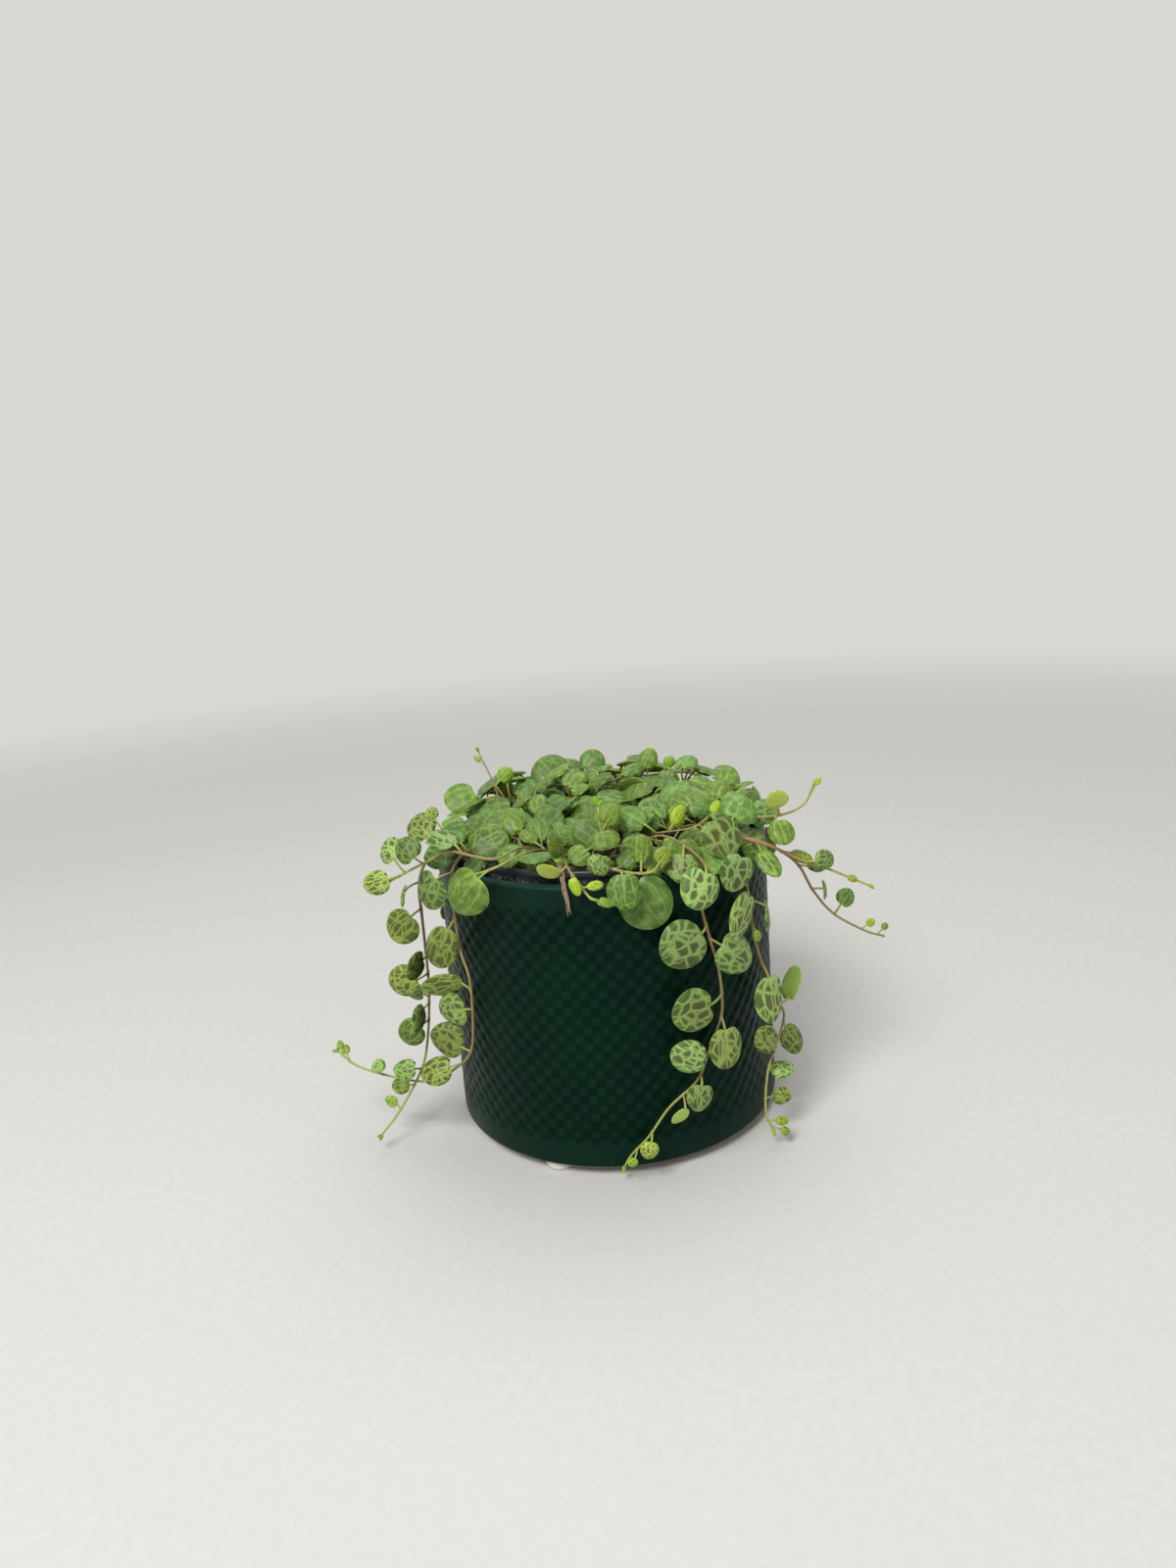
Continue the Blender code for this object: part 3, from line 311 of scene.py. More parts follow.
# Visible potting mix, and the bits that lie in it within a radius
SOIL_CRUMB_RINGS = 26
SOIL_CRUMB_STEPS = 120
SOIL_CRUMB_SCALE = 330
BARK_CHIPS = 150
BARK_SIZE = (1.6, 0.9, 0.5)
PERLITE_BEADS = 70
PERLITE_SIZE = (0.9, 0.85, 0.75)
CHIP_RADIUS = 44
CHIP_GROWTH = (0.6, 1.25)
CHIP_TILT = (-0.5, 0.5)
CHIP_ROUGHNESS = (0.8, 1.15)
CHIP_SEED = 11

# Visible stems: thinner than their solids, most of all inside the pot's rim, and swollen at each leaf
TUBE_SIDES = 8
STEM_RING_STEP = 3
STEM_SUNK = 1.5
KNOT_SWELL = 1.3
OUTER_STEM = 0.92
INNER_STEM = 0.6
STEM_END = 0.6
# Radius, and lower and upper height, between which stems turn from painted shade to their own colour
SHADED_STEMS = (48.0, 105.0, 113.0)
PETIOLE_WIDTHS = (1.15, 0.9, 0.85, 0.85, 0.9, 1.1)
PETIOLE_RINGS = len(PETIOLE_WIDTHS)
PETIOLE_GREEN = 0.72
PETIOLE_ARCH = 0.12

# Visible blades: cells across, finer above a width, how they crowd to the edge, and the blade's shape
BLADE_GRID = 6
FINE_BLADE_GRID = 10
FINE_BLADE = 11.5
BLADE_CROWDING = 0.62
NOTCH_WIDTH = 0.3
UPPER_SHARE = 0.6
TIP_CUP = 0.03
# Least and most of each way in which blades differ, as shares of their size
NOTCH = (0.06, 0.28)
EGG = (-0.04, 0.15)
FOLD = (-0.08, 0.14)
LEAN = (-0.06, 0.06)
RIPPLE = (0.004, 0.018)
# Buds at the growing tips
BUD_LENGTH = 2.2
BUD_WIDTH = 1.3

# Fibres of the withered stalk
STALK_FIBRES = 6
STALK_FIBRE_STEP = 3
STALK_TWIST = 7.0
STALK_FRAY = 0.72
STALK_SEED = 5

# Small leaves low in the mound
FILLER_LEAVES = 190
FILLER_RADIUS = 54.0
FILLER_HEIGHT = 104.0
FILLER_WIDTHS = (5.5, 7, 8.5)
FILLER_MARGIN = 4

# Age of a leaf: from new to grown by its width, younger near a growing tip, oldest when very wide
NEW_TO_GROWN = (2.5, 8.0)
MATURE = 0.75
NEW_GROWTH_START = 0.75
NEW_GROWTH = 0.45
OLD_LEAF = 16.7
YOUNG_SHARE = 0.55
# Leaves inside this radius and above this height are plainer
MOUND_EDGE = (59.0, 102.0)
MOUND_BOLDNESS = 0.3

# Pattern on a blade that is 2 wide and 2 long
VEIN_DRIFT = (0.34, 0.3, 0.0)
SIDE_RIB = 0.52
NET_SCALE = 1.9

# Stage, in metres
FLOOR_RADIUS = 6.0
LAMP_AIM = Vector((0.0, 0.0, 0.06))

# Layers that the finishes read
BLADE_MAP = "leaf"
LEAF_TRAITS = "leaf_traits"
STEM_GROWTH = "stem_growth"
STEM_REDNESS = "stem_redness"
GLAZE_DEPTH = "glaze_depth"

# How brown the patches between a vine's veins are
BOLDNESS = {
    "vine_right_front_trailer": 0.9, "vine_right_edge_trailer": 0.85, "vine_left_trailer": 0.6,
    "vine_left_sweeping": 0.6, "vine_left_arch": 0.6, "vine_left_front_leaves": 0.0,
    "vine_right_lower_shoot": 0.5, "vine_right_middle_shoot": 0.5, "vine_front_rim": 0.5,
}
# How red a vine's stem is
REDNESS = {
    "vine_right_front_trailer": 0.2, "vine_right_edge_trailer": 0.5, "vine_left_trailer": 0.45,
    "vine_left_sweeping": 0.1, "vine_right_lower_shoot": 0.6, "vine_right_middle_shoot": 0.6,
    "vine_right_upper_shoot": 0.7, "vine_mound_front_shoot": 0.8, "vine_mound_right_shoot": 0.7,
    "vine_back_left_shoot": 0.8, "vine_back_right_shoot": 0.9,
}
# Vines with only new leaves, and vines whose leaves are darkened with painted shade, as the oldest
# leaves are
YOUNG_STEMS = {
    "vine_mound_right_shoot", "vine_mound_front_shoot", "vine_front_shoot", "vine_back_left_shoot",
}
PAINTED_SHADE_STEMS = {"vine_left_trailer", "vine_left_sweeping", "vine_left_arch"}

Leaf = namedtuple("Leaf", "station root base tip face width")


class Stem:
    """A named stem: its axis as closely spaced points, and the stations that already carry a leaf."""

    def __init__(self, name, line):
        self.name = name
        self.line = line
        self.leaves = []

    def radius(self, station):
        share = station / (len(self.line) - 1)
        return (STEM_RADIUS + (STEM_TIP_RADIUS - STEM_RADIUS) * share) * MM

    def tangent(self, station):
        """The way that the stem grows at a station; its foot stands flat on the potting mix."""
        if station == 0:
            return UP
        last = min(len(self.line) - 1, station + 1)
        return (self.line[last] - self.line[station - 1]).normalized()

    def is_free(self, station):
        inside = ROOT_SPACING <= station <= len(self.line) - ROOT_SPACING
        return inside and all(abs(station - leaf.station) >= ROOT_SPACING for leaf in self.leaves)


class Clearance:
    """The solids placed so far, and whether a new one would touch any of them."""

    def __init__(self):
        self.solids = []

    @staticmethod
    def ball(points):
        middle = sum(points, Vector()) / len(points)
        return middle, max((p - middle).length for p in points)

    def add(self, points, faces):
        self.solids.append((*self.ball(points), BVHTree.FromPolygons(points, faces)))

    def is_clear(self, points, faces):
        middle, reach = self.ball(points)
        tree = BVHTree.FromPolygons(points, faces)
        return not any(
            (centre - middle).length < radius + reach and solid.overlap(tree)
            for centre, radius, solid in self.solids
        )


def polar(azimuth, radius, height):
    """The point, in metres, at a bearing round the pot's axis, a radius and a height."""
    turn = math.radians(azimuth)
    return Vector((radius * math.cos(turn), radius * math.sin(turn), height)) * MM


def direction(azimuth, elevation):
    turn, rise = math.radians(azimuth), math.radians(elevation)
    flat = math.cos(rise)
    return Vector((flat * math.cos(turn), flat * math.sin(turn), math.sin(rise)))


def on_circle(centre, side, other, turn, radius):
    """The point at a turn round a circle that lies in the plane of two directions."""
    return centre + (side * math.cos(turn) + other * math.sin(turn)) * radius


def smooth_line(points):
    """Closely spaced points on one smooth curve through the given ones (Catmull-Rom)."""
    padded = [2 * points[0] - points[1], *points, 2 * points[-1] - points[-2]]
    line = []
    for a, b, c, d in zip(padded, padded[1:], padded[2:], padded[3:]):
        count = max(1, round((c - b).length / (STEM_STEP * MM)))
        for k in range(count):
            t = k / count
            bend = (2 * a - 5 * b + 4 * c - d) * t * t + (3 * b - a - 3 * c + d) * t**3
            line.append(0.5 * (2 * b + (c - a) * t + bend))
    line.append(points[-1])
    return line


def turned_mesh(name, profile, segments):
    """A closed solid turned about Z from (radius, height) points that start and end on the axis."""
    bm = bmesh.new()
    rings = []
    for radius, height in profile:
        if radius == 0:
            rings.append([bm.verts.new((0, 0, height * MM))])
            continue
        turns = (360 * k / segments for k in range(segments))
        rings.append([bm.verts.new(polar(turn, radius, height)) for turn in turns])
    for lower, upper in zip(rings, rings[1:]):
        for k in range(segments):
            n = (k + 1) % segments
            below = [lower[k % len(lower)], lower[n % len(lower)]]
            above = [upper[n % len(upper)], upper[k % len(upper)]]
            bm.faces.new(list(dict.fromkeys(below + above)))
    return finished_mesh(name, bm)


def join_rings(bm, lower, upper):
    """A band of four-sided faces between two rings with as many points."""
    for k in range(len(lower)):
        n = (k + 1) % len(lower)
        bm.faces.new((lower[k], lower[n], upper[n], upper[k]))


def close_to_point(bm, ring, point):
    """A fan of triangles from a ring to one point."""
    end = bm.verts.new(point)
    for k in range(len(ring)):
        bm.faces.new((ring[k], ring[(k + 1) % len(ring)], end))


def mesh_from(bm, name):
    mesh = bpy.data.meshes.new(name)
    bm.to_mesh(mesh)
    bm.free()
    return mesh


def finished_mesh(name, bm):
    bmesh.ops.recalc_face_normals(bm, faces=bm.faces)
    return mesh_from(bm, name)


def cover_pot_profile():
    inner = COVER_RADIUS - COVER_WALL
    floor = COVER_BASE + COVER_FLOOR
    shoulder = COVER_RIM - COVER_LIP_ROUND / 4
    return [
        (0, COVER_BASE),
        (COVER_RADIUS - 0.7 * COVER_BASE_ROUND, COVER_BASE),
        (COVER_RADIUS - 0.2 * COVER_BASE_ROUND, COVER_BASE + COVER_BASE_ROUND / 3),
        (COVER_RADIUS, COVER_BASE + COVER_BASE_ROUND),
        (COVER_RADIUS, COVER_RIM - COVER_LIP_ROUND),
        (COVER_RADIUS - 0.4 * COVER_LIP_ROUND, shoulder),
        (COVER_RADIUS - COVER_WALL / 2, COVER_RIM),
        (inner + 0.4 * COVER_LIP_ROUND, shoulder),
        (inner, COVER_RIM - COVER_LIP_ROUND),
        (inner, floor + COVER_WALL),
        (inner - COVER_WALL, floor),
        (0, floor),
    ]


def nursery_inner_radius(height):
    """Inner radius of the nursery pot's tapered wall at a height."""
    span = NURSERY_RIM - NURSERY_BAND_HEIGHT - NURSERY_BASE
    share = min(1.0, (height - NURSERY_BASE) / span)
    outer = NURSERY_BASE_RADIUS + (NURSERY_TOP_RADIUS - NURSERY_BASE_RADIUS) * share
    return outer - NURSERY_WALL


def nursery_pot_profile():
    band = NURSERY_RIM - NURSERY_BAND_HEIGHT
    floor = NURSERY_BASE + NURSERY_WALL
    return [
        (0, NURSERY_BASE),
        (NURSERY_BASE_RADIUS, NURSERY_BASE),
        (NURSERY_TOP_RADIUS, band),
        (NURSERY_BAND_RADIUS, band),
        (NURSERY_BAND_RADIUS, NURSERY_RIM - NURSERY_WALL / 2),
        (NURSERY_BAND_RADIUS - NURSERY_WALL / 2, NURSERY_RIM),
        (NURSERY_BAND_RADIUS - NURSERY_WALL, NURSERY_RIM - NURSERY_WALL / 2),
        (NURSERY_TOP_RADIUS - 0.2, band + NURSERY_WALL),
        (nursery_inner_radius(band - 1), band - 1),
        (nursery_inner_radius(floor), floor),
        (0, floor),
    ]


def soil_mesh():
    """Potting mix that fills the nursery pot, its top in low waves."""
    bm = bmesh.new()
    floor = NURSERY_BASE + NURSERY_WALL + GAP
    shoulder = SOIL_LEVEL - 2
    top_radius = nursery_inner_radius(shoulder) - GAP
    profile = [(nursery_inner_radius(floor) - GAP, floor, 0), (top_radius, shoulder, 0)]
    profile += [(top_radius * share, SOIL_LEVEL, SOIL_WAVE) for share in SOIL_RINGS]
    rings = []
    for level, (radius, height, wave) in enumerate(profile):
        ring = []
        for k in range(SOIL_SEGMENTS):
            turn = 2 * math.pi * k / SOIL_SEGMENTS
            swell = wave * math.sin(SOIL_WAVES_ROUND * turn + level)
            ring.append(bm.verts.new(polar(math.degrees(turn), radius, height + swell)))
        rings.append(ring)
    for lower, upper in zip(rings, rings[1:]):
        join_rings(bm, lower, upper)
    bm.faces.new(rings[0][::-1])
    close_to_point(bm, rings[-1], Vector((0, 0, SOIL_LEVEL * MM)))
    return finished_mesh("soil", bm)


def tube_points(stem, grow, stations):
    """Rings of points round a stem's axis at the stations, each ring turned as little as possible."""
    rings = []
    side = stem.tangent(stations[0]).orthogonal().normalized()
    for station in stations:
        along = stem.tangent(station)
        side = (side - along * side.dot(along)).normalized()
        other = along.cross(side)
        radius = stem.radius(station) + grow * MM
        ring = []
        for k in range(STEM_SIDES):
            turn = 2 * math.pi * (k + 0.5) / STEM_SIDES
            ring.append(on_circle(stem.line[station], side, other, turn, radius))
        rings.append(ring)
    return rings


def band_faces(rings):
    """Faces, as point numbers, between each ring of four points and the next."""
    faces = []
    for first in range(0, 4 * (rings - 1), 4):
        for i in range(4):
            n = (i + 1) % 4
            faces.append((first + i, first + n, first + 4 + n, first + 4 + i))
    return faces


def stem_hull(stem):
    """A stem's tube a little thicker than it is, for asking what it would touch."""
    rings = tube_points(stem, GAP, range(STEM_FOOT, len(stem.line), ROOT_SPACING))
    return [p for ring in rings for p in ring], band_faces(len(rings))


def blade_rings(leaf, grow=0.0):
    """Cross-sections of a leaf towards its tip, each as right, top, left and bottom points."""
    along = leaf.tip - leaf.base
    length = along.length
    along.normalize()
    across = leaf.face.cross(along)
    shape = LARGE_BLADE if leaf.width > LARGE_LEAF * MM else SMALL_BLADE
    stub = PETIOLE_HALF_WIDTH * MM + grow
    rings = [[leaf.base + side * stub for side in (across, leaf.face, -across, -leaf.face)]]
    for at, half_width, thick in shape:
        middle = leaf.base + along * length * at
        wide = across * (leaf.width * half_width + grow)
        droop = leaf.face * leaf.width * LEAF_DROOP
        depth = leaf.face * (LEAF_THICKNESS * MM * thick / 2 + grow)
        rings.append([middle + wide - droop, middle + depth, middle - wide - droop, middle - depth])
    return rings


def leaf_hull(leaf):
    """A leaf and its petiole a little larger than they are, for asking what they would touch."""
    grow = GAP * MM
    way = (leaf.base - leaf.root).normalized()
    start = leaf.root + way * (STEM_RADIUS + 3 * GAP) * MM
    side = way.orthogonal().normalized() * (PETIOLE_HALF_WIDTH * MM + grow)
    other = way.cross(side)
    points = [start + side, start + other, start - side, start - other]
    for ring in blade_rings(leaf, grow):
        points += ring
    faces = band_faces(len(points) // 4)
    tip = len(points)
    faces += [(tip - 4 + i, tip - 4 + (i + 1) % 4, tip) for i in range(4)]
    points.append(leaf.tip + (leaf.tip - leaf.base).normalized() * grow)
    return points, faces


def leaf_on(stem, centre, width, length, face):
    """The leaf at a centre, on the free station of the stem from which it has a natural petiole."""
    reach = (length / 2 + PETIOLE) * MM
    best = None
    for station in range(ROOT_SPACING, len(stem.line) - ROOT_SPACING):
        away = (stem.line[station] - centre).length
        miss = abs(away - reach) + OLD_WOOD_PREFERENCE * MM * station
        if (best is None or miss < best[0]) and stem.is_free(station):
            best = (miss, station)
    if best is None:
        return None
    root = stem.line[best[1]]
    along = centre - root
    along -= face * along.dot(face)
    if along.length < length * MM / 4:
        return None
    half = along.normalized() * length * MM / 2
    leaf = Leaf(best[1], root, centre - half, centre + half, face, width * MM)
    return leaf if (leaf.base - root).length < PETIOLE_LONGEST * MM else None


def place_leaf(stems, spot, solids, chance, tries):
    """Add one leaf near its spot, shifted and tilted as little as it takes to be clear of all else."""
    azimuth, radius, height, width, length, face_azimuth, face_elevation = spot
    centre, face = polar(azimuth, radius, height), direction(face_azimuth, face_elevation)
    near = sorted(stems, key=lambda stem: min((p - centre).length for p in stem.line[::ROOT_SPACING]))
    near = near[:NEAREST_STEMS]
    for attempt in range(tries):
        loose = attempt / tries
        shift = Vector([chance.uniform(-1, 1) for _ in range(3)]) * LEAF_SHIFT * loose * MM
        axis = Vector([chance.uniform(-1, 1) for _ in range(3)]).normalized()
        tilted = Quaternion(axis, math.radians(LEAF_TILT) * loose * chance.random()) @ face
        scale = 1 - LEAF_SHRINK * loose * chance.random()
        stem = near[attempt % len(near)]
        leaf = leaf_on(stem, centre + shift, width * scale, length * scale, tilted)
        if leaf is None:
            continue
        hull = leaf_hull(leaf)
        if solids.is_clear(*hull):
            stem.leaves.append(leaf)
            solids.add(*hull)
            return True
    return False


def rooted(route, soil_tree):
    """A route's points, the first one just clear of the potting mix and leaving it upright."""
    points = [polar(*spot) for spot in route]
    above = Vector((points[0].x, points[0].y, COVER_RIM * MM))
    points[0] = soil_tree.ray_cast(above, -UP)[0] + UP * GAP * MM
    points.insert(1, points[0] + UP * STEM_UPRIGHT * MM)
    return points


def back_trailer_route(azimuth, drift, lowest):
    """Out of the mix, over both rims and down behind the pot, drifting a little sideways."""
    radius, height = BACK_RIM
    route = [(azimuth - 6, 26, 0), (azimuth - 2, 42, 108), (azimuth, 56, 106.5)]
    route.append((azimuth + 1, radius, height))
    for k in range(1, BACK_STEPS + 1):
        share = k / BACK_STEPS
        sway = 2 * math.sin(azimuth + 4 * share)
        fall = (height - lowest) * share
        route.append((azimuth + drift * share + sway, radius + 0.5 + share, height - fall))
    return route


def back_shoot_route(azimuth, reach, lowest):
    middle = (58 + reach) / 2
    return [
        (azimuth - 5, 30, 0), (azimuth - 2, 43, 109), (azimuth, 58, 108.5),
        (azimuth + 3, middle, (106 + lowest) / 2 + 3), (azimuth + 5, reach, lowest),
    ]


def crown_route(number, chance):
    """A short stem from near the middle out towards the rim, low over the potting mix."""
    azimuth = 360 * number / CROWN_STEMS + chance.uniform(-5, 5)
    end = chance.uniform(*CROWN_REACH)
    level = CROWN_HEIGHT + chance.uniform(-1.5, 3)
    swing = chance.uniform(-14, 14)
    return [
        (azimuth, CROWN_START + chance.uniform(-4, 5), 0),
        (azimuth + swing * 0.3, CROWN_START + 9, level - 2),
        (azimuth + swing * 0.6, (CROWN_START + 9 + end) / 2, level + 1),
        (azimuth + swing, end, max(level, 106)),
    ]


def make_stems(soil_tree, solids, chance):
    """Every stem, the listed ones first, each clear of the stems before it."""
    stems = []
    for name, (route, _) in NAMED_VINES.items():
        stems.append(Stem(name, smooth_line(rooted(route, soil_tree))))
    for number, (azimuth, drift, lowest, _) in enumerate(BACK_TRAILERS, 1):
        route = back_trailer_route(azimuth, drift, lowest)
        stems.append(Stem(f"vine_back_trailer_{number}", smooth_line(rooted(route, soil_tree))))
    for number, shoot in enumerate(BACK_SHOOTS, 1):
        route = back_shoot_route(*shoot)
        stems.append(Stem(f"vine_back_shoot_{number}", smooth_line(rooted(route, soil_tree))))
    for stem in stems:
        solids.add(*stem_hull(stem))
    for number in range(CROWN_STEMS):
        for _ in range(CROWN_STEM_TRIES):
            route = crown_route(number, chance)
            stem = Stem(f"vine_crown_{number + 1:02d}", smooth_line(rooted(route, soil_tree)))
            if solids.is_clear(*stem_hull(stem)):
                solids.add(*stem_hull(stem))
                stems.append(stem)
                break
    return stems


def trailing_leaf_spots(stem, largest, chance):
    """Spots for leaves on alternate sides of a hanging stem, smaller towards its tip."""
    spots = []
    station, side = int(BARE_START / STEM_STEP), 1
    while station < len(stem.line) - ROOT_SPACING:
        share = station / len(stem.line)
        width = largest * (1.05 - 0.75 * share**2) * chance.uniform(0.82, 1.12)
        point = stem.line[station]
        azimuth = math.degrees(math.atan2(point.y, point.x)) + side * (width / 2 + PETIOLE) * 0.85
        radius = math.hypot(point.x, point.y) / MM + 1
        height = point.z / MM - chance.uniform(0, 4)
        facing = azimuth + chance.uniform(-28, 22)
        length = width * chance.uniform(0.95, 1.2)
        spots.append((azimuth, radius, height, width, length, facing, chance.uniform(-8, 22)))
        station += int((3.5 + width * chance.uniform(0.3, 0.55)) / STEM_STEP)
        side = -side
    return spots


def crown_leaf_spots(chance):
    """Spots spread evenly over the mound by the golden angle, tilted out and to the bright side."""
    spots = []
    for number in range(CROWN_LEAVES):
        radius = CROWN_RADIUS * math.sqrt((number + 0.5) / CROWN_LEAVES)
        azimuth = (number * GOLDEN_ANGLE) % 360 - 180
        if BARE_RIM[0] < azimuth < BARE_RIM[1] and radius > BARE_RIM_RADIUS:
            continue
        place = polar(azimuth, radius, 0) / MM
        fall = CROWN_FALL * max(0.0, radius - CROWN_SHOULDER)
        height = CROWN_LEAF_HEIGHT + 0.05 * place.y + chance.uniform(-2.5, 3.5) - fall
        width = chance.choice(CROWN_LEAF_WIDTHS)
        bright_side = -0.3 if place.y > 0 else -0.6
        lean = Vector((chance.gauss(0, 0.3), chance.gauss(bright_side, 0.3), 1.0))
        lean += place * 0.45 / CROWN_RADIUS
        elevation = math.degrees(lean.angle(Vector((lean.x, lean.y, 0))))
        facing = math.degrees(math.atan2(lean.y, lean.x))
        length = width * chance.uniform(0.92, 1.15)
        spots.append((azimuth, radius, height, width, length, facing, elevation))
    return spots


def grow_plant(soil_tree, solids):
    """All stems with their leaves, every leaf clear of every other and of the pots."""
    chance = random.Random(GROWTH_SEED)
    stems = make_stems(soil_tree, solids, chance)
    by_name = {stem.name: stem for stem in stems}
    for name, (_, leaves) in NAMED_VINES.items():
        for spot in leaves:
            place_leaf([by_name[name]], spot, solids, chance, PLACED_TRIES)
    for spot in MOUND_LEAVES:
        place_leaf(stems, spot, solids, chance, PLACED_TRIES)
    trailing = [(f"vine_back_trailer_{n}", spec[3]) for n, spec in enumerate(BACK_TRAILERS, 1)]
    trailing += [(f"vine_back_shoot_{n}", BACK_SHOOT_LEAF) for n in range(1, len(BACK_SHOOTS) + 1)]
    for name, largest in trailing:
        for spot in trailing_leaf_spots(by_name[name], largest, chance):
            place_leaf([by_name[name]], spot, solids, chance, TRAILING_TRIES)
    for spot in crown_leaf_spots(chance):
        place_leaf(stems, spot, solids, chance, CROWN_TRIES)
    return stems


def stalk_mesh():
    """A withered stalk from the potting mix over the front rim: a shrivelled, tapering strip."""
    stem = Stem("withered_stalk", smooth_line([polar(*spot) for spot in STALK_ROUTE]))
    last = len(stem.line) - 1
    bm = bmesh.new()
    rings = []
    for station in range(0, last, STALK_RING_STEP):
        share = station / last
        along, point = stem.tangent(station), stem.line[station]
        out = UP if share < 0.5 else Vector((point.x, point.y, 0)).normalized()
        across = along.cross(out).normalized()
        deep = across.cross(along) * STALK_THICKNESS / 2 * MM
        shrivel = (1 - 0.75 * share**2) * (1 + 0.25 * math.sin(station))
        wide = across * STALK_WIDTH / 2 * shrivel * MM
        rings.append([bm.verts.new(point + side) for side in (wide, deep, -wide, -deep)])
    for lower, upper in zip(rings, rings[1:]):
        join_rings(bm, lower, upper)
    bm.faces.new(rings[0][::-1])
    close_to_point(bm, rings[-1], stem.line[last])
    return finished_mesh("withered_stalk", bm)


def solid_of(mesh, solids):
    """Add a mesh to the solids that the plant keeps clear of."""
    points = [v.co.copy() for v in mesh.vertices]
    faces = [tuple(face.vertices) for face in mesh.polygons]
    solids.add(points, faces)
    return BVHTree.FromPolygons(points, faces)


# Finishes


class Finish:
    """A Principled material, with one short call for each kind of node that a pattern needs."""

    def __init__(self, name, roughness):
        self.material = bpy.data.materials.new(name)
        self.material.use_nodes = True
        self.tree = self.material.node_tree
        self.shader = self.tree.nodes["Principled BSDF"]
        self.shader.inputs["Roughness"].default_value = roughness

    def node(self, kind, **settings):
        made = self.tree.nodes.new(kind)
        for name, value in settings.items():
            setattr(made, name, value)
        return made

    def feed(self, socket, value):
        """Link a socket to another one, or set its value; a colour gets its alpha here."""
        if isinstance(value, bpy.types.NodeSocket):
            self.tree.links.new(value, socket)
        else:
            socket.default_value = (*value[:3], 1.0) if socket.type == "RGBA" else value

    def number(self, operation, a, b=0.0):
        made = self.node("ShaderNodeMath", operation=operation)
        self.feed(made.inputs[0], a)
        self.feed(made.inputs[1], b)
        return made.outputs[0]

    def plus(self, a, b):
        return self.number("ADD", a, b)

    def minus(self, a, b):
        return self.number("SUBTRACT", a, b)

    def times(self, a, b):
        return self.number("MULTIPLY", a, b)

    def vector(self, operation, a, b):
        made = self.node("ShaderNodeVectorMath", operation=operation)
        self.feed(made.inputs[0], a)
        self.feed(made.inputs[1], b)
        return made.outputs[0]

    def moved(self, vector, by):
        return self.vector("ADD", vector, by)

    def scaled(self, vector, by):
        return self.vector("MULTIPLY", vector, by)

    def length(self, vector):
        made = self.node("ShaderNodeVectorMath", operation="LENGTH")
        self.feed(made.inputs[0], vector)
        return made.outputs["Value"]

    def joined(self, x, y, z=0.0):
        made = self.node("ShaderNodeCombineXYZ")
        for socket, value in zip(made.inputs, (x, y, z)):
            self.feed(socket, value)
        return made.outputs[0]

    def parted(self, vector):
        made = self.node("ShaderNodeSeparateXYZ")
        self.feed(made.inputs[0], vector)
        return made.outputs

    def rise(self, value, low, high, first=0.0, last=1.0):
        """A smooth step from first to last as the value goes from low to high."""
        made = self.node("ShaderNodeMapRange", interpolation_type="SMOOTHSTEP")
        for socket, given in zip(made.inputs, (value, low, high, first, last)):
            self.feed(socket, given)
        return made.outputs[0]

    def mix(self, share, a, b):
        made = self.node("ShaderNodeMix", data_type="RGBA")
        for number, value in ((0, share), (6, a), (7, b)):
            self.feed(made.inputs[number], value)
        return made.outputs[2]

    def attribute(self, name):
        return self.node("ShaderNodeAttribute", attribute_name=name).outputs

    def place(self):
        """Where a point of the surface is on the object."""
        return self.node("ShaderNodeTexCoord").outputs["Object"]

    def noise(self, vector, scale, detail=2.0, roughness=0.5):
        made = self.node("ShaderNodeTexNoise")
        self.feed(made.inputs["Vector"], vector)
        for name, value in (("Scale", scale), ("Detail", detail), ("Roughness", roughness)):
            made.inputs[name].default_value = value
        return made.outputs[0]

    def cell_edge(self, vector, scale):
        """Distance from the nearest edge between irregular cells."""
        made = self.node("ShaderNodeTexVoronoi", feature="DISTANCE_TO_EDGE")
        self.feed(made.inputs["Vector"], vector)
        made.inputs["Scale"].default_value = scale
        return self.number("DIVIDE", made.outputs["Distance"], scale)

    def colour(self, value):
        self.feed(self.shader.inputs["Base Color"], value)

    def relief(self, height, depth, strength=1.0):
        """Bump from a height in 0..1 that stands for a depth in metres."""
        made = self.node("ShaderNodeBump")
        made.inputs["Strength"].default_value = strength
        made.inputs["Distance"].default_value = depth
        self.feed(made.inputs["Height"], height)
        self.feed(self.shader.inputs["Normal"], made.outputs[0])


def vein_distance(finish, x, y, offset, boldness):
    """How far a point of the blade is from a vein: ribs from base to tip, and a net between them."""
    place = finish.joined(x, y)
    wander = finish.node("ShaderNodeTexNoise")
    finish.feed(wander.inputs["Vector"], finish.moved(place, offset))
    wander.inputs["Scale"].default_value, wander.inputs["Detail"].default_value = 1.7, 1.0
    drift = finish.vector("SUBTRACT", wander.outputs["Color"], (0.5, 0.5, 0.5))
    x, y, _ = finish.parted(finish.moved(place, finish.scaled(drift, VEIN_DRIFT)))
    middle = finish.plus(finish.times(y, 0.9), -0.1)
    half = finish.minus(1.0, finish.times(middle, middle))
    half = finish.number("SQRT", finish.number("MAXIMUM", half, 0.04))
    out = finish.number("ABSOLUTE", finish.number("DIVIDE", x, half))
    from_side_rib = finish.number("ABSOLUTE", finish.minus(out, SIDE_RIB))
    nearest = finish.number("MINIMUM", finish.times(out, 0.8), from_side_rib)
    thinning = finish.rise(y, -0.9, 0.9, 0.6, 2.6)
    nearest = finish.times(finish.times(nearest, half), thinning)
    net = finish.cell_edge(finish.moved(finish.joined(x, finish.times(y, 0.9)), offset), NET_SCALE)
    faintness = finish.rise(boldness, 0.0, 0.8, 0.06, 0.01)
    return finish.number("MINIMUM", nearest, finish.plus(net, faintness))


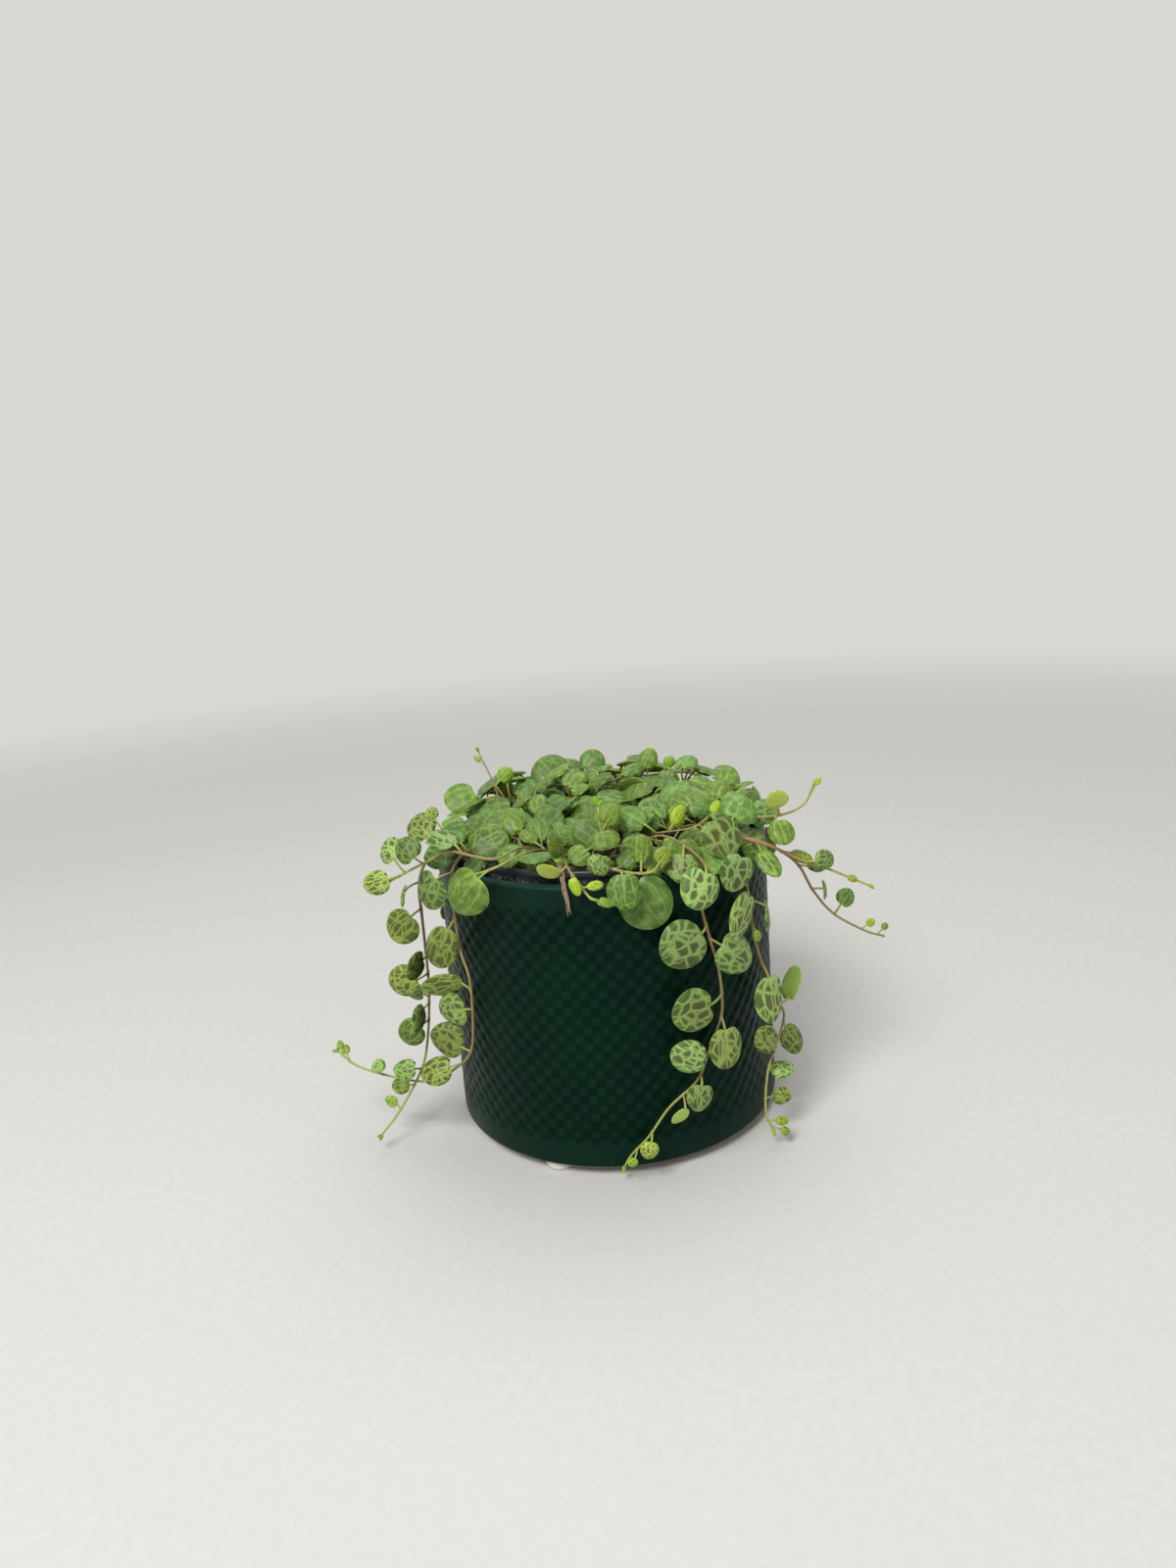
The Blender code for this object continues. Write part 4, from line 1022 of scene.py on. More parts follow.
def leaf_colour(finish, look, pattern, age, boldness):
    """Upper side of a blade: lime when new, then green with brown-hearted patches, or a pale bloom
    with painted sheen and glints.
    """
    veins, hearts, out, place = pattern
    clouds = finish.noise(place, 1.5, 3.0)
    brown = finish.times(hearts, finish.rise(clouds, 0.25, 0.5, 0.6, 1.0))
    brown = finish.times(finish.times(boldness, brown), finish.rise(out, 0.3, 0.9, 1.0, 0.25))
    green = finish.mix(finish.rise(clouds, 0.35, 0.65), look.leaf_green, look.leaf_deep_green)
    green = finish.mix(finish.times(hearts, 0.7), green, look.leaf_deep_green)
    patch = finish.mix(brown, green, look.leaf_patch)
    contrast = finish.rise(boldness, 0.0, 0.9, 0.26, 0.86)
    grown = finish.mix(finish.times(veins, contrast), patch, look.leaf_vein)
    # Painted sheen and glints on old, plain leaves: a pale haze, and pale specks for glittering
    # papillae
    haze = finish.rise(finish.noise(place, 2.3, 2.0), 0.45, 0.72, 0.0, 0.45)
    specks = finish.rise(finish.noise(finish.place(), 2400.0, 2.0), 0.6, 0.7, 0.0, 0.5)
    unmarked = finish.rise(boldness, 0.0, 0.35, 1.0, 0.0)
    bloom_and_sheen = finish.times(unmarked, finish.number("MAXIMUM", haze, specks))
    grown = finish.mix(bloom_and_sheen, grown, look.leaf_bloom_and_sheen)
    young = finish.mix(brown, look.young_patch, look.leaf_patch)
    young = finish.mix(finish.times(veins, 0.8), young, look.young_vein)
    colour = finish.mix(finish.rise(age, 0.1, 0.5), young, grown)
    return finish.mix(finish.rise(out, 0.86, 1.0, 0.0, 0.5), colour, look.leaf_margin)


def leaf_finish(look):
    """Fleshy blades: a net of pale veins over green, brown or lime above, and plainer underneath."""
    finish = Finish("turtle_leaf", 0.4)
    flesh = finish.shader.inputs
    flesh["Specular IOR Level"].default_value = 0.25
    flesh["Subsurface Weight"].default_value = 0.3
    flesh["Subsurface Radius"].default_value = (0.6, 1.0, 0.25)
    flesh["Subsurface Scale"].default_value = 0.0014
    blade = finish.node("ShaderNodeUVMap", uv_map=BLADE_MAP).outputs[0]
    traits = finish.attribute(LEAF_TRAITS)
    age, seed, boldness = finish.parted(traits["Color"])
    under = traits["Alpha"]
    centred = finish.vector("SUBTRACT", finish.scaled(blade, (2.0, 2.0, 0.0)), (1.0, 1.0, 0.0))
    x, y, _ = finish.parted(centred)
    offset = finish.joined(finish.times(seed, 37.0), finish.times(seed, 91.0))
    away = vein_distance(finish, x, y, offset, boldness)
    veins, hearts = finish.rise(away, 0.0, 0.095, 1.0, 0.0), finish.rise(away, 0.03, 0.115)
    out = finish.plus(finish.times(x, x), finish.times(y, y))
    pattern = (veins, hearts, out, finish.moved(centred, offset))
    above = leaf_colour(finish, look, pattern, age, boldness)
    below = finish.mix(finish.times(veins, 0.2), look.leaf_underside, look.leaf_green)
    colour = finish.mix(under, above, below)

    grain = finish.rise(finish.noise(finish.place(), 1900.0, 2.0, 0.7), 0.25, 0.8, 0.88, 1.12)
    tone = finish.number("FRACT", finish.times(seed, 7.3))
    warmth = finish.number("FRACT", finish.times(seed, 23.9))
    shade = finish.times(grain, finish.rise(tone, 0.0, 1.0, 0.78, 1.26))
    # Past full growth a leaf darkens: the oldest, widest leaves, and the left vines' leaves under
    # painted shade
    shade = finish.times(shade, finish.rise(age, MATURE, 1.0, 1.0, 0.8))
    red, blue = finish.rise(warmth, 0.0, 1.0, 0.92, 1.12), finish.rise(warmth, 0.0, 1.0, 1.1, 0.8)
    colour = finish.scaled(colour, finish.joined(red, 1.0, blue))
    finish.colour(finish.scaled(colour, finish.joined(shade, shade, shade)))
    finish.feed(finish.shader.inputs["Roughness"], finish.rise(grain, 0.9, 1.1, 0.46, 0.34))
    sunk = finish.times(veins, finish.rise(under, 0.0, 1.0, 1.0, 0.2))
    finish.relief(finish.minus(finish.times(grain, 0.8), sunk), 0.00008, 0.5)
    return finish.material


def stem_finish(look):
    """Thin stems: reddish brown or olive, yellow-green at the tip, and darkened with painted shade low
    in the mound.
    """
    finish = Finish("turtle_stem", 0.5)
    place = finish.place()
    old = finish.mix(finish.attribute(STEM_REDNESS)["Fac"], look.stem_olive, look.stem_red)
    growth = finish.attribute(STEM_GROWTH)["Fac"]
    colour = finish.mix(finish.rise(growth, 0.55, 1.0), old, look.stem_tip)
    inner, low, high = (length * MM for length in SHADED_STEMS)
    from_axis = finish.length(finish.scaled(place, (1.0, 1.0, 0.0)))
    # Painted shade: stems low in the mound, under the leaves, are darkened towards the shaded stem
    # colour
    shaded = finish.rise(from_axis, inner, COVER_RADIUS * MM, 0.7, 0.0)
    shaded = finish.times(shaded, finish.rise(finish.parted(place)[2], low, high, 1.0, 0.0))
    colour = finish.mix(shaded, colour, look.stem_shaded)
    streaks = finish.noise(place, 900.0, 3.0, 0.6)
    finish.colour(finish.mix(finish.rise(streaks, 0.35, 0.75, 0.0, 0.4), colour, look.stem_dark))
    finish.relief(streaks, 0.0001, 0.5)
    return finish.material


def glaze_finish(pot):
    """Dark green glaze, lighter where it runs thin over ridges, a lip lightened by thin glaze and a
    painted highlight, and a bare clay foot line.
    """
    finish = Finish("dark_green_glaze", 0.34)
    finish.shader.inputs["Specular IOR Level"].default_value = 0.085
    finish.shader.inputs["Specular Tint"].default_value = (0.35, 1.0, 0.75, 1.0)
    place = finish.place()
    height = finish.parted(place)[2]
    clouds = finish.noise(place, 45.0, 3.0)
    colour = finish.mix(finish.rise(clouds, 0.3, 0.7), pot.glaze_colour, pot.glaze_deep_colour)
    ridges = finish.rise(finish.attribute(GLAZE_DEPTH)["Fac"], 0.0, 0.5, 0.2, 0.0)
    colour = finish.mix(ridges, colour, pot.glaze_thin_and_lip_highlight_colour)
    # Lighter band on the rounded lip: thinner glaze there, and a painted highlight along its top
    lip = finish.rise(height, (COVER_RIM - 1.5) * MM, COVER_RIM * MM, 0.0, 0.55)
    colour = finish.mix(lip, colour, pot.glaze_thin_and_lip_highlight_colour)
    foot_edge = finish.plus(height, finish.times(clouds, 0.0006))
    foot = finish.rise(foot_edge, (COVER_BASE + 0.75) * MM, (COVER_BASE + 1.05) * MM, 1.0, 0.0)
    finish.colour(finish.mix(foot, colour, pot.clay_colour))
    roughness = finish.rise(finish.noise(place, 120.0, 4.0), 0.3, 0.7, 0.3, 0.42)
    roughness = finish.plus(roughness, finish.times(foot, 0.4))
    finish.feed(finish.shader.inputs["Roughness"], roughness)
    finish.relief(finish.noise(place, 700.0, 2.0), 0.00006, 0.35)
    return finish.material


def plastic_finish(pot):
    """Black plastic with fine scuffs, and white minerals where hard water stood at its rim."""
    finish = Finish("black_nursery_plastic", 0.4)
    place = finish.place()
    height = finish.parted(place)[2]
    patches = finish.noise(place, 130.0, 3.0)
    grains = finish.rise(finish.noise(place, 1100.0, 5.0, 0.75), 0.46, 0.66, 0.0, 0.8)
    line = finish.plus(height, finish.times(patches, 0.0024))
    low = finish.rise(line, (COVER_RIM + 1.1) * MM, (COVER_RIM + 2.0) * MM, 1.0, 0.0)
    splashes = finish.rise(finish.noise(place, 420.0, 4.0, 0.7), 0.62, 0.72, 0.0, 0.5)
    low = finish.times(low, finish.rise(patches, 0.4, 0.66, 0.0, 1.0))
    salt = finish.times(grains, finish.number("MAXIMUM", low, splashes))
    dust = finish.rise(finish.noise(place, 60.0, 3.0), 0.35, 0.75, 0.0, 0.3)
    colour = finish.mix(dust, pot.plastic_colour, pot.plastic_dust_colour)
    finish.colour(finish.mix(salt, colour, pot.crust_colour))
    finish.feed(finish.shader.inputs["Roughness"], finish.rise(salt, 0.0, 1.0, 0.32, 0.9))
    scuffs = finish.noise(finish.scaled(place, (1.0, 1.0, 0.15)), 1500.0, 2.0)
    finish.relief(finish.plus(salt, finish.times(scuffs, 0.3)), 0.0002, 0.6)
    return finish.material


def mix_finish(pot):
    """Damp potting mix: dark crumbs with browner fibres."""
    finish = Finish("potting_mix", 0.92)
    place = finish.place()
    crumbs = finish.noise(place, 420.0, 5.0, 0.7)
    fibres = finish.noise(finish.scaled(place, (1.0, 0.25, 1.0)), 900.0, 3.0)
    colour = finish.mix(finish.rise(crumbs, 0.35, 0.7), pot.soil_dark_colour, pot.soil_colour)
    finish.colour(finish.mix(finish.rise(fibres, 0.58, 0.7, 0.0, 0.6), colour, pot.bark_colour))
    finish.relief(crumbs, 0.0008, 0.9)
    return finish.material


def chip_finish(name, light, dark, grain):
    """Bark or perlite: rough, with its own grain."""
    finish = Finish(name, 0.88)
    place = finish.place()
    streaks = finish.noise(finish.scaled(place, (1.0, grain, 1.0)), 1300.0, 4.0, 0.65)
    finish.colour(finish.mix(finish.rise(streaks, 0.3, 0.7), dark, light))
    finish.relief(streaks, 0.0003, 0.8)
    return finish.material


def pad_finish(pot):
    """White foot pads, greyed a little where they meet the table."""
    finish = Finish("white_pad", 0.6)
    place = finish.place()
    height = finish.parted(place)[2]
    specks = finish.rise(finish.noise(place, 800.0, 3.0), 0.5, 0.8, 0.0, 0.35)
    # Specks, and greyer towards the bottom edge where the pads meet the table
    grey_specks_and_foot = finish.plus(specks, finish.rise(height, 0.0, 0.0012, 0.4, 0.0))
    finish.colour(finish.mix(grey_specks_and_foot, pot.pad_colour, pot.plastic_dust_colour))
    finish.relief(finish.noise(place, 1500.0, 2.0), 0.00008, 0.4)
    return finish.material


def stalk_finish(look):
    """Withered, fibrous plant matter, darker in its creases."""
    finish = Finish("withered_stalk", 0.85)
    place = finish.place()
    fibres = finish.noise(finish.scaled(place, (1.0, 1.0, 0.12)), 2600.0, 4.0, 0.7)
    finish.colour(finish.mix(finish.rise(fibres, 0.32, 0.68), look.stalk_dark, look.stalk_pale))
    finish.relief(fibres, 0.0003, 0.9)
    return finish.material


def floor_finish(stage):
    """Pale floor that keeps the shadow near the pot and fades into the backdrop further out."""
    finish = Finish("pale_floor", 0.9)
    finish.shader.inputs["Specular IOR Level"].default_value = 0.1
    place = finish.place()
    grain = finish.rise(finish.noise(place, 300.0, 3.0), 0.3, 0.7, 0.97, 1.0)
    finish.colour(finish.mix(grain, (0.0, 0.0, 0.0), stage.floor_colour))
    far = finish.rise(finish.length(place), stage.floor_fade_start, stage.floor_fade_end)
    backdrop = finish.node("ShaderNodeEmission")
    finish.feed(backdrop.inputs["Color"], stage.backdrop_colour)
    blend = finish.node("ShaderNodeMixShader")
    finish.feed(blend.inputs[0], far)
    finish.feed(blend.inputs[1], finish.shader.outputs[0])
    finish.feed(blend.inputs[2], backdrop.outputs[0])
    finish.feed(finish.tree.nodes["Material Output"].inputs["Surface"], blend.outputs[0])
    return finish.material


# Pieces


def in_scene(name, data):
    """A new object with the data, linked to the scene."""
    made = bpy.data.objects.new(name, data)
    bpy.context.scene.collection.objects.link(made)
    return made


def piece_from(bm, name, *finishes):
    """A smooth-shaded object from a finished bmesh."""
    mesh = mesh_from(bm, name)
    mesh.shade_smooth()
    for finish in finishes:
        mesh.materials.append(finish)
    return in_scene(name, mesh)


def mount_piece(piece, slot, *nodes):
    """Fix a piece to the plant's one body, in place of the CAD nodes named."""
    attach(piece, "root")
    if nodes:
        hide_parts(*nodes)


def rounded(middle_radius, middle_height, size, first, last, count):
    """Points of a round corner, from one angle to another, as (radius, height)."""
    points = []
    for k in range(count):
        turn = math.radians(first + (last - first) * k / (count - 1))
        points.append((middle_radius + size * math.cos(turn), middle_height + size * math.sin(turn)))
    return points


def spun(profile, steps):
    """A closed shell spun about Z from (radius, height) points that start and end on the axis."""
    bm = bmesh.new()
    verts = [bm.verts.new((radius * MM, 0.0, height * MM)) for radius, height in profile]
    edges = [bm.edges.new(pair) for pair in zip(verts, verts[1:])]
    bmesh.ops.spin(
        bm, geom=verts + edges, cent=(0, 0, 0), axis=(0, 0, 1), dvec=(0, 0, 0), angle=2 * math.pi,
        steps=steps, use_merge=True,
    )
    bmesh.ops.remove_doubles(bm, verts=bm.verts[:], dist=1e-6)
    bmesh.ops.recalc_face_normals(bm, faces=bm.faces[:])
    return bm


def dimple_share(azimuth, height, pot):
    """0 on the ridges, up to 1 at the middle of a dimple, in rows staggered by half a pitch."""
    row = (height - pot.dimple_low) / pot.dimple_row_pitch
    inside = min(row + 0.5, pot.dimple_rows - 0.5 - row)
    if inside <= 0:
        return 0.0
    turn = azimuth / (2 * math.pi) * pot.dimples_round
    wave = math.cos(2 * math.pi * turn) * math.cos(math.pi * row)
    return min(1.0, inside) * (0.5 + 0.5 * wave) ** DIMPLE_ROUNDNESS


def cover_wall_profile(pot):
    """The cover pot from under its middle, round the lip and down to the middle of its floor."""
    floor, corner, lip = COVER_BASE + COVER_FLOOR, COVER_BASE_ROUND, COVER_WALL / 2
    inner = COVER_RADIUS - COVER_WALL
    step = pot.dimple_row_pitch / DIMPLE_RINGS_PER_ROW / MM
    margin = DIMPLE_RINGS_PER_ROW * step
    low = pot.dimple_low / MM - margin
    high = (pot.dimple_low + (pot.dimple_rows - 1) * pot.dimple_row_pitch) / MM + margin
    rings = round((high - low) / step)
    return [
        (0, COVER_BASE), (UNDERSIDE_RING, COVER_BASE),
        *rounded(COVER_RADIUS - corner, COVER_BASE + corner, corner, -90, 0, 7),
        *((COVER_RADIUS, low + (high - low) * k / rings) for k in range(rings + 1)),
        *rounded(COVER_RADIUS - lip, COVER_RIM - lip, lip, 0, 180, 13),
        (inner, COVER_RIM / 2),
        *rounded(inner - INNER_CORNER, floor + INNER_CORNER, INNER_CORNER, 0, -90, 6),
        (FLOOR_RING, floor), (0, floor),
    ]


def make_cover_pot(pot):
    """The glazed cover pot, its straight wall pressed with staggered rows of shallow round dimples."""
    bm = spun(cover_wall_profile(pot), DIMPLE_STEPS * pot.dimples_round)
    layer = bm.verts.layers.float.new(GLAZE_DEPTH)
    outside = (COVER_RADIUS - WALL_SKIN) * MM
    for v in bm.verts:
        radius = math.hypot(v.co.x, v.co.y)
        if radius < outside:
            continue
        share = dimple_share(math.atan2(v.co.y, v.co.x), v.co.z, pot)
        v[layer] = share
        pulled = 1 - share * pot.dimple_depth / radius
        v.co.x *= pulled
        v.co.y *= pulled
    piece = piece_from(bm, "glazed_cover_pot", glaze_finish(pot))
    mount_piece(piece, "glazed_pot", "cover_pot")


def nursery_wall_profile():
    """The nursery pot's profile with a rolled lip, moulded step and rounded floor corner."""
    band, wall, corner = NURSERY_RIM - NURSERY_BAND_HEIGHT, NURSERY_WALL, NURSERY_CORNER
    floor, edge, outer, lip = NURSERY_BASE + wall, NURSERY_STEP_EDGE, NURSERY_BAND_RADIUS, NURSERY_LIP
    groove, lower, upper = NURSERY_GROOVE
    return [
        (0, NURSERY_BASE), (NURSERY_RING, NURSERY_BASE),
        *rounded(NURSERY_BASE_RADIUS - corner, NURSERY_BASE + corner, corner, -90, -10, 5),
        (NURSERY_TOP_RADIUS - 0.1, band - 0.4), (NURSERY_TOP_RADIUS + edge, band),
        (outer - edge, band), (outer, band + edge),
        (outer - groove, NURSERY_RIM - lower), (outer, NURSERY_RIM - upper),
        *rounded(outer - lip, NURSERY_RIM - lip, lip, 0, 180, 7),
        (outer - wall, band + wall), (nursery_inner_radius(band - 1), band - 1),
        (nursery_inner_radius(floor + corner), floor + corner),
        (NURSERY_BASE_RADIUS - 2 * corner, floor), (0, floor),
    ]


def make_nursery_pot(pot):
    """The black nursery pot with its drain holes."""
    bm = spun(nursery_wall_profile(), NURSERY_STEPS)
    piece = piece_from(bm, "black_nursery_pot", plastic_finish(pot))

    bm = bmesh.new()
    for k in range(DRAIN_HOLES):
        azimuth = DRAIN_FIRST_AZIMUTH + 360 * k / DRAIN_HOLES
        centre = Matrix.Translation(polar(azimuth, DRAIN_CIRCLE_RADIUS, NURSERY_BASE))
        bmesh.ops.create_cone(
            bm, cap_ends=True, segments=DRAIN_STEPS, radius1=DRAIN_RADIUS * MM,
            radius2=DRAIN_RADIUS * MM, depth=DRAIN_CUT * MM, matrix=centre,
        )
    cutter = piece_from(bm, "drain_holes")
    cut = piece.modifiers.new("Drain holes", "BOOLEAN")
    cut.operation, cut.object = "DIFFERENCE", cutter
    settle(piece)
    bpy.data.objects.remove(cutter, do_unlink=True)
    piece.data.set_sharp_from_angle(angle=math.radians(SMOOTH_ANGLE))
    mount_piece(piece, "nursery_plastic", "nursery_pot")


def settle(piece):
    """Put the modifiers' result into the piece's own mesh."""
    bpy.context.view_layer.update()
    view = bpy.context.evaluated_depsgraph_get()
    shaped = bpy.data.meshes.new_from_object(piece.evaluated_get(view))
    piece.modifiers.clear()
    piece.data = shaped


def make_potting_mix(pot):
    """The potting mix with a crumbly top, and bark chips and perlite lying in it."""
    floor, top = NURSERY_BASE + NURSERY_WALL + GAP, SOIL_LEVEL - 0.4
    edge = nursery_inner_radius(top) - GAP
    profile = [(0, floor), (nursery_inner_radius(floor) - GAP - 0.6, floor), (edge, top - 1.5)]
    profile += [(edge * (1 - k / SOIL_CRUMB_RINGS), top) for k in range(SOIL_CRUMB_RINGS + 1)]
    bm = spun(profile, SOIL_CRUMB_STEPS)
    for v in bm.verts:
        if v.co.z > (top - 1) * MM:
            crumbs = noise.fractal(v.co * SOIL_CRUMB_SCALE, 0.6, 2.0, 4)
            v.co.z += (0.9 * crumbs + 0.5) * MM
    piece = piece_from(bm, "potting_mix", mix_finish(pot))
    mount_piece(piece, "potting_mix", "soil")

    chance = random.Random(CHIP_SEED)
    bark = chip_finish("bark_chip", pot.bark_colour, pot.soil_colour, 0.2)
    make_chips("bark_chips", bark, BARK_CHIPS, BARK_SIZE, 1, chance)
    perlite = chip_finish("perlite", pot.perlite_colour, pot.perlite_shade_colour, 1.0)
    make_chips("perlite_beads", perlite, PERLITE_BEADS, PERLITE_SIZE, 2, chance)


def make_chips(name, finish, count, size, roundness, chance):
    """Loose bits, each a rough lump turned at random, half sunk in the mix."""
    bm = bmesh.new()
    for _ in range(count):
        azimuth, radius = chance.uniform(-180, 180), CHIP_RADIUS * math.sqrt(chance.random())
        spot = polar(azimuth, radius, SOIL_LEVEL + 0.2)
        grown = [side * chance.uniform(*CHIP_GROWTH) * MM for side in size]
        turn = Euler((chance.uniform(*CHIP_TILT), chance.uniform(*CHIP_TILT), chance.uniform(0, 6.3)))
        placing = Matrix.LocRotScale(spot, turn, Vector(grown))
        lump = bmesh.ops.create_icosphere(bm, subdivisions=roundness, radius=1.0, matrix=placing)
        for v in lump["verts"]:
            v.co = spot + (v.co - spot) * chance.uniform(*CHIP_ROUGHNESS)
    piece = piece_from(bm, name, finish)
    mount_piece(piece, "potting_mix")


def make_foot_pads(pot):
    """Three round pads with soft edges."""
    finish = pad_finish(pot)
    radius, top = PAD_DIAMETER / 2, PAD_HEIGHT - GAP
    low, high = PAD_LOWER_ROUND, PAD_UPPER_ROUND
    profile = [
        (0, 0), (radius - low, 0), *rounded(radius - low, low, low, -90, 0, 4)[1:],
        *rounded(radius - high, top - high, high, 0, 90, 5), (0, top),
    ]
    for number, azimuth in enumerate(PAD_AZIMUTHS, 1):
        bm = spun(profile, PAD_STEPS)
        bmesh.ops.translate(bm, verts=bm.verts[:], vec=polar(azimuth, PAD_CIRCLE_RADIUS, 0))
        piece = piece_from(bm, f"white_foot_pad_{number}", finish)
        mount_piece(piece, "foot_pads", f"foot_pad_{number}")


# Stems


def tube_bmesh():
    """An empty bmesh with the layers that every tube fills in."""
    bm = bmesh.new()
    bm.verts.layers.float.new(STEM_GROWTH)
    bm.verts.layers.float.new(STEM_REDNESS)
    return bm


def lay_tube(bm, points, radii, growths, redness):
    """A closed tube: a circle set across the path's start and extruded from point to point."""
    growth_layer = bm.verts.layers.float[STEM_GROWTH]
    redness_layer = bm.verts.layers.float[STEM_REDNESS]
    ring = bmesh.ops.create_circle(bm, cap_ends=True, segments=TUBE_SIDES)["verts"]
    side = (points[1] - points[0]).orthogonal().normalized()
    for k, (point, radius, growth) in enumerate(zip(points, radii, growths)):
        if k:
            rim = [bm.edges.get((ring[i], ring[i - 1])) for i in range(TUBE_SIDES)]
            made = bmesh.ops.extrude_edge_only(bm, edges=rim)["geom"]
            fresh = {g for g in made if isinstance(g, bmesh.types.BMVert)}
            ring = [grown_from(v, fresh) for v in ring]
        ahead, behind = points[min(k + 1, len(points) - 1)], points[max(k - 1, 0)]
        along = (ahead - behind).normalized()
        side = (side - along * side.dot(along)).normalized()
        other = along.cross(side)
        for i, v in enumerate(ring):
            v.co = on_circle(point, side, other, 2 * math.pi * i / TUBE_SIDES, radius)
            v[growth_layer] = growth
            v[redness_layer] = redness
    bm.faces.new(ring)


def grown_from(vert, fresh):
    """The new point that was extruded from an old one."""
    return next(e.other_vert(vert) for e in vert.link_edges if e.other_vert(vert) in fresh)


def stem_path(stem):
    """Points, radii and growth along a stem from just inside the mix, thicker at each leaf."""
    last = len(stem.line) - 1
    knots = {leaf.station for leaf in stem.leaves}
    stations = sorted(knots | set(range(0, last, STEM_RING_STEP)) | {last})
    points = [stem.line[0] - UP * STEM_SUNK * MM]
    radii, growths = [stem.radius(0)], [0.0]
    for station in stations:
        swell = KNOT_SWELL if station in knots else 1.0
        point = stem.line[station]
        outside = math.hypot(point.x, point.y) > COVER_RADIUS * MM
        points.append(point)
        radii.append(stem.radius(station) * swell * (OUTER_STEM if outside else INNER_STEM))
        growths.append(station / last)
    radii[-1] *= STEM_END
    return points, radii, growths


def notch_depth(leaf):
    """How far a blade's edge is drawn in at its petiole, as a share of its half length."""
    return NOTCH[0] + (NOTCH[1] - NOTCH[0]) * (leaf.station * 0.618 % 1)


def petiole_path(leaf):
    """A short curve from the stem to the underside of a blade, just inside its edge."""
    along = (leaf.tip - leaf.base).normalized()
    inwards = notch_depth(leaf) / 2 * (leaf.tip - leaf.base).length + 0.04 * leaf.width
    end = leaf.base + along * inwards - leaf.face * 0.15 * MM
    arch = (leaf.face - along) * PETIOLE_ARCH * (end - leaf.root).length
    middle = (leaf.root + end) / 2 + arch
    points = []
    for k in range(PETIOLE_RINGS):
        t = k / (PETIOLE_RINGS - 1)
        points.append(leaf.root * (1 - t) ** 2 + middle * 2 * t * (1 - t) + end * t * t)
    return points


def make_stem(stem, finish, redness):
    """One object for a stem and the petioles of its leaves."""
    bm = tube_bmesh()
    lay_tube(bm, *stem_path(stem), redness)
    slim = [PETIOLE_HALF_WIDTH * MM * share for share in PETIOLE_WIDTHS]
    for leaf in stem.leaves:
        scale = min(1.0, 0.45 + leaf.width / (12 * MM))
        radii = [radius * scale for radius in slim]
        here = max(PETIOLE_GREEN, leaf.station / len(stem.line))
        growths = [here + (1.0 - here) * k / (PETIOLE_RINGS - 1) for k in range(PETIOLE_RINGS)]
        lay_tube(bm, petiole_path(leaf), radii, growths, redness)
    bmesh.ops.recalc_face_normals(bm, faces=bm.faces[:])
    piece = piece_from(bm, f"{stem.name}_stem", finish)
    mount_piece(piece, "leaves_and_stems", stem.name)


# Leaves


def blade_template(grid):
    """A round unit blade: a grid drawn into a disc, doubled, swollen and closed at its edge."""
    bm = bmesh.new()
    bm.loops.layers.uv.new(BLADE_MAP)
    bm.loops.layers.float_color.new(LEAF_TRAITS)
    bmesh.ops.create_grid(bm, x_segments=grid, y_segments=grid, size=1.0)
    for v in bm.verts:
        a, b = v.co.x, v.co.y
        flat = Vector((a * math.sqrt(1 - b * b / 2), b * math.sqrt(1 - a * a / 2), 0.0))
        v.co = flat * flat.length ** (BLADE_CROWDING - 1) if flat.length else flat
    top = bm.faces[:]
    copied = bmesh.ops.duplicate(bm, geom=top)["geom"]
    under = [g for g in copied if isinstance(g, bmesh.types.BMFace)]
    bmesh.ops.reverse_faces(bm, faces=under)
    for faces, way in ((top, 1), (under, -1)):
        for v in {v for face in faces for v in face.verts}:
            v.co.z = way * math.sqrt(max(0.0, 1 - (v.co.x**2 + v.co.y**2) ** 1.5))
    bmesh.ops.remove_doubles(bm, verts=bm.verts[:], dist=1e-4)
    blade_map = bm.loops.layers.uv[BLADE_MAP]
    for face in bm.faces:
        for loop in face.loops:
            loop[blade_map].uv = ((loop.vert.co.x + 1) / 2, (loop.vert.co.y + 1) / 2)
    return mesh_from(bm, "blade_template")


def blade_warp(leaf, chance, plant):
    """A function that puts a point of the unit blade where it is on this leaf."""
    along = leaf.tip - leaf.base
    length = along.length
    along.normalize()
    across = leaf.face.cross(along)
    middle = (leaf.base + leaf.tip) / 2
    small = min(1.0, leaf.width / (LARGE_LEAF * MM))
    notch, egg = notch_depth(leaf), chance.uniform(*EGG)
    fold, lean = chance.uniform(*FOLD), chance.uniform(*LEAN)
    ripple, phase = chance.uniform(*RIPPLE), chance.uniform(0, 6.3)
    thick = plant.leaf_thickness * (0.55 + 0.45 * small)

    def placed(co):
        x, y, lift = co
        edge = x * x + y * y
        deep = notch * math.exp(-((x / NOTCH_WIDTH) ** 2)) * max(0.0, -y) ** 3
        wide = x * (1 - egg * y) + lean * y * y
        body = thick * lift * (UPPER_SHARE if lift > 0 else 1 - UPPER_SHARE)
        droop = leaf.width * (plant.leaf_droop * x * x + TIP_CUP * max(0.0, y) ** 2)
        wave = ripple * math.sin(3 * math.atan2(y, x) + phase) * edge
        wave = leaf.width * (wave + fold * abs(x) * 0.4)
        flat = across * wide * leaf.width / 2 + along * (y + deep) * length / 2
        return middle + flat + leaf.face * (body - droop + wave)

    return placed


